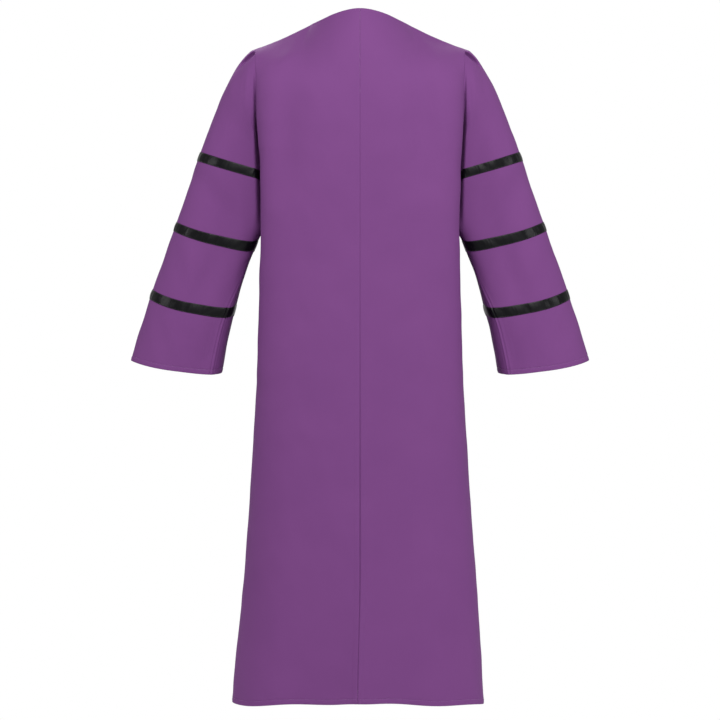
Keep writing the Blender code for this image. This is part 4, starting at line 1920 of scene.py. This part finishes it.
    def ring_places(self, steps: Array) -> list[float]:
        """The rows below the head, with close rows under the bars and at the cuff.

        Args:
            steps: The mean distance between each ring and the next.

        Returns:
            Rising places from the first ring to the last, counted in rings.
        """
        places = [0.0]
        for number, length in enumerate(steps):
            if number == len(steps) - 1:
                shares = graded(length, step=0.005, end=0.018, fine=0.0011)[1:]
            else:
                barred = (number, number + 1) in self.bar_rings
                pitch = self.bar_row_step if barred else self.row_step
                shares = np.linspace(0.0, 1.0, math.ceil(length / pitch) + 1)[1:]
            places.extend(number + shares)
        return places

    def head_rows(self, armhole: Array, first: Array, second: Array) -> list[Array]:
        """Rows of the sleeve's head, from the armhole to just before the first ring.

        Args:
            armhole: The points of the armhole.
            first: The points of the first ring.
            second: Points a little below it, which give its slope.

        Returns:
            One row for each place down the head.
        """
        turn = 2 * math.pi * self.columns
        weights = np.stack([np.cos(turn), np.sin(turn), -np.cos(turn), -np.sin(turn)], axis=1)
        weights = np.maximum(weights, 0.0) ** 2
        leaves = np.array([astuple(leave) for leave in self.leaves]) * (1.0, 1.0, -1.0, 1.0)
        way = weights @ leaves
        span = np.linalg.norm(first - armhole, axis=1, keepdims=True)
        after = armhole + unit(way[:, :3]) * span * way[:, 3:]
        before = first - unit(second - first) * span * self.head_arrives
        return curve_rows(armhole, after, before, first, self.head_places)

    def shaped(self) -> Surface:
        """Shapes the sleeve on its armhole.

        Returns:
            The sleeve's face, before its pleats and creases.
        """
        edge = self.armhole(self.back.surface.points, self.front.surface.points)
        shares = self.girth_shares(edge)
        rings = np.array([self.ring(ring, self.columns) for ring in SLEEVE_RINGS])
        steps = np.linalg.norm(np.diff(rings, axis=0), axis=2).mean(axis=1)
        knots = np.concatenate([[0.0], np.cumsum(steps)])
        downs = knots / knots[-1]
        rings = [self.ring(ring, self.swung(down)) for ring, down in zip(SLEEVE_RINGS, downs)]
        rings = np.array(rings)
        self.places = np.array(self.ring_places(steps))
        below = smooth_curve(knots, rings, np.interp(self.places, np.arange(len(knots)), knots))
        second = smooth_curve(knots, rings, knots[1] / 2)[0]
        head = self.head_rows(read_along(shares, edge, self.columns), rings[0], second)
        points = np.concatenate([head, below])
        normals = grid_normals(points, closed=True)
        self.share_armhole(points, normals, shares)
        return Surface(points, normals, closed=True)

    def share_armhole(self, points: Array, normals: Array, shares: Array) -> None:
        """Gives the armhole's edges and the sleeve's head one normal, and opens the seam gap.

        Args:
            points: The sleeve's points; the first row moves.
            normals: The sleeve's normals; the first row changes.
            shares: The shares of the armhole's points round the sleeve.
        """
        back, front = self.back.surface, self.front.surface
        head = np.concatenate([normals[0], normals[0][:1]])
        head = read_along(np.append(self.columns, 1.0), head, shares)
        shared = unit(unit(self.armhole(back.normals, front.normals)) + head)
        pit = self.back.pit_row
        back.normals[: pit + 1, -1] = shared[: pit + 1]
        front.normals[: pit + 1, -1] = shared[pit:][::-1]
        normals[0] = unit(read_along(shares, shared, self.columns))
        around = np.roll(points[0], -1, axis=0) - np.roll(points[0], 1, axis=0)
        points[0] += unit(np.cross(around, normals[0])) * self.back.seam_gap

    def seam_distance(self) -> Array:
        """Each point's distance from the underarm seam."""
        across = self.surface.across()
        return np.abs(across - across[:, self.seam_column][:, None])

    def dressed(self) -> tuple[Surface, Array]:
        """The finished outer face and the wall's thickness.

        Returns:
            The face, and the thickness at each point.
        """
        surface = self.surface
        girths = surface.girths()[:, None]
        off_crest = np.minimum(self.columns, 1 - self.columns)[None] * girths
        down, above, seam = surface.down(), surface.from_hem(), self.seam_distance()
        from_seam = np.broadcast_to(down[:, :1], down.shape)
        round_from_crest, out = self.pleat.shift(off_crest, from_seam)
        full, full_to, fades = self.crest_run
        fade = 1 - ease((from_seam - full_to) / fades)
        out += self.crest_puff * bell(off_crest, self.crest_spread) * fade * ease(from_seam / full)
        clear = ease(down / self.crease_clear)
        edge_on, turns = self.seen
        for side in Side:
            seen = ease((surface.normals[..., 1] * side.facing - edge_on) / turns)
            for crease in SLEEVE_CREASES[side, self.half]:
                out += crease.out(surface.points) * seen * clear
        uneven = self.handling.out(surface.across(), down, self.wave_start * self.half.way)
        out += uneven * clear * ease(seam / self.handling_fade)
        lower = ease((down - self.lower_from) / self.lower_over)
        out += self.seam_ridge * np.exp(-seam / self.seam_ridge_spread) * lower
        crinkle = np.cos(math.tau * seam / self.seam_crinkle_step)
        crinkle = crinkle * bell(seam, self.seam_crinkle_reach * self.seam_crinkle_step)
        out += self.seam_crinkle * crinkle * lower
        out += self.seam.out(seam, down) * (1 - self.lower_flat * lower)
        out += self.seam.armhole_out(down, surface.points[..., 2])
        out += self.cuff.out(above, surface.across())
        backing = np.maximum(self.cuff.backing(above), self.seam.backing(seam))
        backing = np.maximum(backing, self.seam.backing(down))
        points = surface.moved(out).points
        points[..., 1] -= self.crevice.shift(points, down)
        around = unit(np.roll(surface.points, -1, axis=1) - np.roll(surface.points, 1, axis=1))
        away = np.where(self.columns < 0.5, 1.0, -1.0)[None, :, None]
        points = points + around * away * round_from_crest[..., None]
        normals = grid_normals(points, closed=True)
        normals[0] = surface.normals[0]
        thickness = self.cloth_thick + self.allowance_thick * backing
        return Surface(points, normals, closed=True), thickness

    def bar_rows(self, edges: tuple[int, int]) -> slice:
        """The rows of the sleeve that lie under a bar, from edge to edge."""
        start, end = (int(np.abs(self.places - edge).argmin()) for edge in edges)
        return slice(len(self.head_places) + start, len(self.head_places) + end + 1)

    def stitched(self, surface: Surface) -> list[Run]:
        """The line of stitches round the cuff."""
        return [surface.line_round(surface.from_hem(), self.cuff.width)]


@dataclass
class RibbonBar:
    """A satin ribbon sewn round a sleeve along both its edges.

    Attributes:
        swell_steps, swell_shares: The lengths of its buckles and their strengths.
        swell_rest, swell_peak: How far it stands out between buckles, and where they meet.
        swell_lean, swell_start: How far the buckles lean along it, and where they start.
        pinned_to, pinned_fade: How near to the body's edge it is held flat, and how soon freed.
        seam_wrinkle_edge: How much of its wrinkles at the underarm seam is left at its edges.
    """

    sleeve: Sleeve
    number: int
    lift: float = 0.00035
    thick: float = 0.00045
    swell: float = 0.00110
    swell_steps: tuple[float, ...] = (0.041, 0.0235, 0.0145)
    swell_shares: tuple[float, ...] = (1.0, 0.60, 0.30)
    swell_rest: float = 1.8
    swell_peak: float = 3.2
    swell_lean: float = 0.35
    swell_start: float = 1.7
    pinned_to: float = 0.004
    pinned_fade: float = 0.016
    sewn_in: float = 0.0014
    stitch_size: Pair = (0.00040, 0.00016)
    seam_wrinkle: float = 0.0007
    seam_wrinkle_step: float = 0.0065
    seam_wrinkle_reach: float = 0.014
    seam_wrinkle_edge: float = 0.3

    @property
    def name(self) -> str:
        """The name of the CAD node that the bar stands for."""
        return f"bar_{self.sleeve.half.value}_{self.number}"

    def shaped(self) -> Surface:
        """Shapes the ribbon on the finished sleeve.

        Returns:
            The ribbon's outer face.
        """
        cloth, _ = self.sleeve.dressed()
        rows = self.sleeve.bar_rows(self.sleeve.bar_rings[self.number - 1])
        under = cloth.picked(rows)
        across, down = under.across(), under.down()
        middle = np.sin(math.pi * np.clip(down / down[-1:], 0.0, 1.0))
        start = self.swell_start * self.number + self.sleeve.half.way
        turned = math.tau * (across + self.swell_lean * down)
        waves = sum(
            share * np.sin(turned / step + start * (number + 1))
            for number, (share, step) in enumerate(zip(self.swell_shares, self.swell_steps))
        )
        seam = self.sleeve.seam_distance()[rows]
        near = bell(seam, self.seam_wrinkle_reach)
        pulls = np.cos(math.tau * seam / self.seam_wrinkle_step) * near
        off_body = self.sleeve.crevice.off_body(under.points)
        middle = middle * ease((off_body - self.pinned_to) / self.pinned_fade)
        out = self.lift + self.thick
        out = out + self.swell * (self.swell_rest + waves) / self.swell_peak * middle
        edge = self.seam_wrinkle_edge
        out = out + self.seam_wrinkle * (1 + pulls) / 2 * near * (edge + (1 - edge) * middle)
        return under.moved(out)

    def build(self, ribbon: Material, thread: Material) -> list[Piece]:
        """Builds the ribbon and its two rows of stitches.

        Args:
            ribbon: The ribbon's finish.
            thread: The thread's finish.

        Returns:
            The ribbon first, then the thread.
        """
        surface = self.shaped()
        half = self.sleeve.half
        wall = ClothWall(f"{self.name}_ribbon", surface, self.thick, half, ribbon).build()
        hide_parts(self.name)
        stitching = Stitching(f"{self.name}_thread", half, thread)
        stitching.width, stitching.height = self.stitch_size
        for distances in (surface.down(), surface.from_hem()):
            stitching.runs.append(surface.line_round(distances, self.sewn_in))
        sewn = stitching.build()
        girth, width = surface.girths().mean(), surface.down()[-1].mean()
        LOG.info("%s: %.4f wide, %.3f long", wall.name, width, girth)
        return [wall, sewn]


@dataclass
class Robe:
    """The whole robe: four panels, two sleeves and six bars."""

    form: BodyForm = BodyForm()

    def build(self) -> None:
        """Builds every piece, each with its finish and the body that it rides on."""
        cloth, ribbon = ClothFinish().material(), RibbonFinish().material()
        purple_thread = ThreadFinish("purple_thread", (0.235, 0.085, 0.275)).material()
        black_thread = ThreadFinish("black_thread", (0.020, 0.020, 0.022)).material()
        for half in Half:
            back, front = (BodyPanel(side, half, self.form) for side in Side)
            share_seams(back, front)
            sleeve = Sleeve(half, back, front)
            for piece in (back, front, sleeve):
                self.settle(piece.build(cloth, purple_thread), Slot.CLOTH)
            for number in range(1, len(sleeve.bar_rings) + 1):
                self.settle(RibbonBar(sleeve, number).build(ribbon, black_thread), Slot.RIBBON)

    @staticmethod
    def settle(pieces: list[Piece], slot: Slot) -> None:
        """Makes pieces ride on the robe.

        Args:
            pieces: The pieces.
            slot: The record's slot; not used.
        """
        for piece in pieces:
            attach(piece, BODY)
            LOG.info("%s: %d faces", piece.name, len(piece.data.polygons))


# ---- the studio


@dataclass(frozen=True)
class SoftBox:
    """A large soft light: where it stands, where it points, its size and its power in watts."""

    name: str
    place: Triple
    aim: Triple
    size: Pair
    power: float
    colour: Triple = (1.0, 1.0, 1.0)

    def build(self) -> None:
        """Hangs the light."""
        light = bpy.data.lights.new(self.name, "AREA")
        light.shape = "RECTANGLE"
        light.size, light.size_y = self.size
        light.energy = self.power
        light.color = self.colour
        holder = bpy.data.objects.new(self.name, light)
        holder.location = self.place
        aim_at(holder, self.aim)
        bpy.context.scene.collection.objects.link(holder)


def aim_at(holder: Piece, aim: Triple) -> None:
    """Turns a light or a camera towards a point."""
    way = holder.location - Vector(aim)
    holder.rotation_euler = way.to_track_quat("Z", "Y").to_euler()


@dataclass
class Studio:
    """The pale floor, the soft light and the camera that stands behind the robe.

    Attributes:
        camera_place, view_half: Where the camera stands, and half the width that it sees.
        floor_z, floor_half: The floor's height and half its width.
        backdrop, ambient: How bright the surroundings look and how strongly they light the robe.
    """

    camera_place: Triple = (0.0, 6.5, -0.652)
    view_half: float = 0.6984
    sensor: float = 36.0
    floor_z: float = -1.55
    floor_half: float = 1.8
    backdrop: float = 1.0
    ambient: float = 0.42
    boxes: tuple[SoftBox, ...] = (
        SoftBox("key_light", (-0.20, 1.9, 1.10), (0.0, 0.0, -0.45), (0.9, 0.7), 38.5),
        SoftBox("left_light", (1.8, 1.0, 0.10), (0.2, 0.0, -0.35), (0.8, 1.0), 12.0),
        SoftBox("right_light", (-1.8, 1.0, 0.10), (-0.2, 0.0, -0.35), (0.8, 1.0), 12.0),
        SoftBox("low_light", (-0.95, 1.2, -1.05), (-0.05, 0.1, -1.15), (0.3, 0.4), 2.4),
        SoftBox("front_light", (0.20, -1.9, 1.10), (0.0, 0.0, -0.45), (0.9, 0.7), 50.0),
    )

    def camera(self) -> None:
        """Sets the camera at the photo's angle."""
        lens = bpy.data.cameras.new("photo_camera")
        lens.sensor_width = self.sensor
        lens.lens = self.sensor / 2 * self.camera_place[1] / self.view_half
        lens.clip_start, lens.clip_end = 0.1, 200.0
        holder = bpy.data.objects.new("photo_camera", lens)
        holder.location = self.camera_place
        holder.rotation_euler = (math.pi / 2, 0.0, math.pi)
        bpy.context.scene.collection.objects.link(holder)
        bpy.context.scene.camera = holder

    def floor(self) -> None:
        """Lays the pale floor."""
        reach = self.floor_half
        corners = [(-reach, -reach), (reach, -reach), (reach, reach), (-reach, reach)]
        mesh = bpy.data.meshes.new("studio_floor")
        mesh.from_pydata([(x, y, 0.0) for x, y in corners], [], [(0, 1, 2, 3)])
        mesh.materials.append(FloorFinish().material())
        piece = bpy.data.objects.new("studio_floor", mesh)
        piece.location.z = self.floor_z
        bpy.context.scene.collection.objects.link(piece)

    def surroundings(self) -> None:
        """Makes the white surroundings: bright to the eye, softer as light."""
        world = bpy.data.worlds.new("studio_white")
        world.use_nodes = True
        nodes, links = world.node_tree.nodes, world.node_tree.links
        shade = nodes["Background"]
        shade.inputs["Color"].default_value = (1.0, 1.0, 1.0, 1.0)
        path = nodes.new("ShaderNodeLightPath")
        spread = nodes.new("ShaderNodeMapRange")
        spread.inputs["To Min"].default_value = self.ambient
        spread.inputs["To Max"].default_value = self.backdrop
        links.new(path.outputs["Is Camera Ray"], spread.inputs["Value"])
        links.new(spread.outputs[0], shade.inputs["Strength"])
        bpy.context.scene.world = world

    def build(self) -> None:
        """Builds the studio."""
        self.camera()
        self.floor()
        self.surroundings()
        for box in self.boxes:
            box.build()
        bpy.context.scene.view_settings.view_transform = "Standard"


def main() -> None:
    """Builds the robe and the studio round it."""
    logging.basicConfig(level=logging.INFO, format="%(message)s")
    Robe().build()
    Studio().build()


if __name__ == "__main__":
    main()
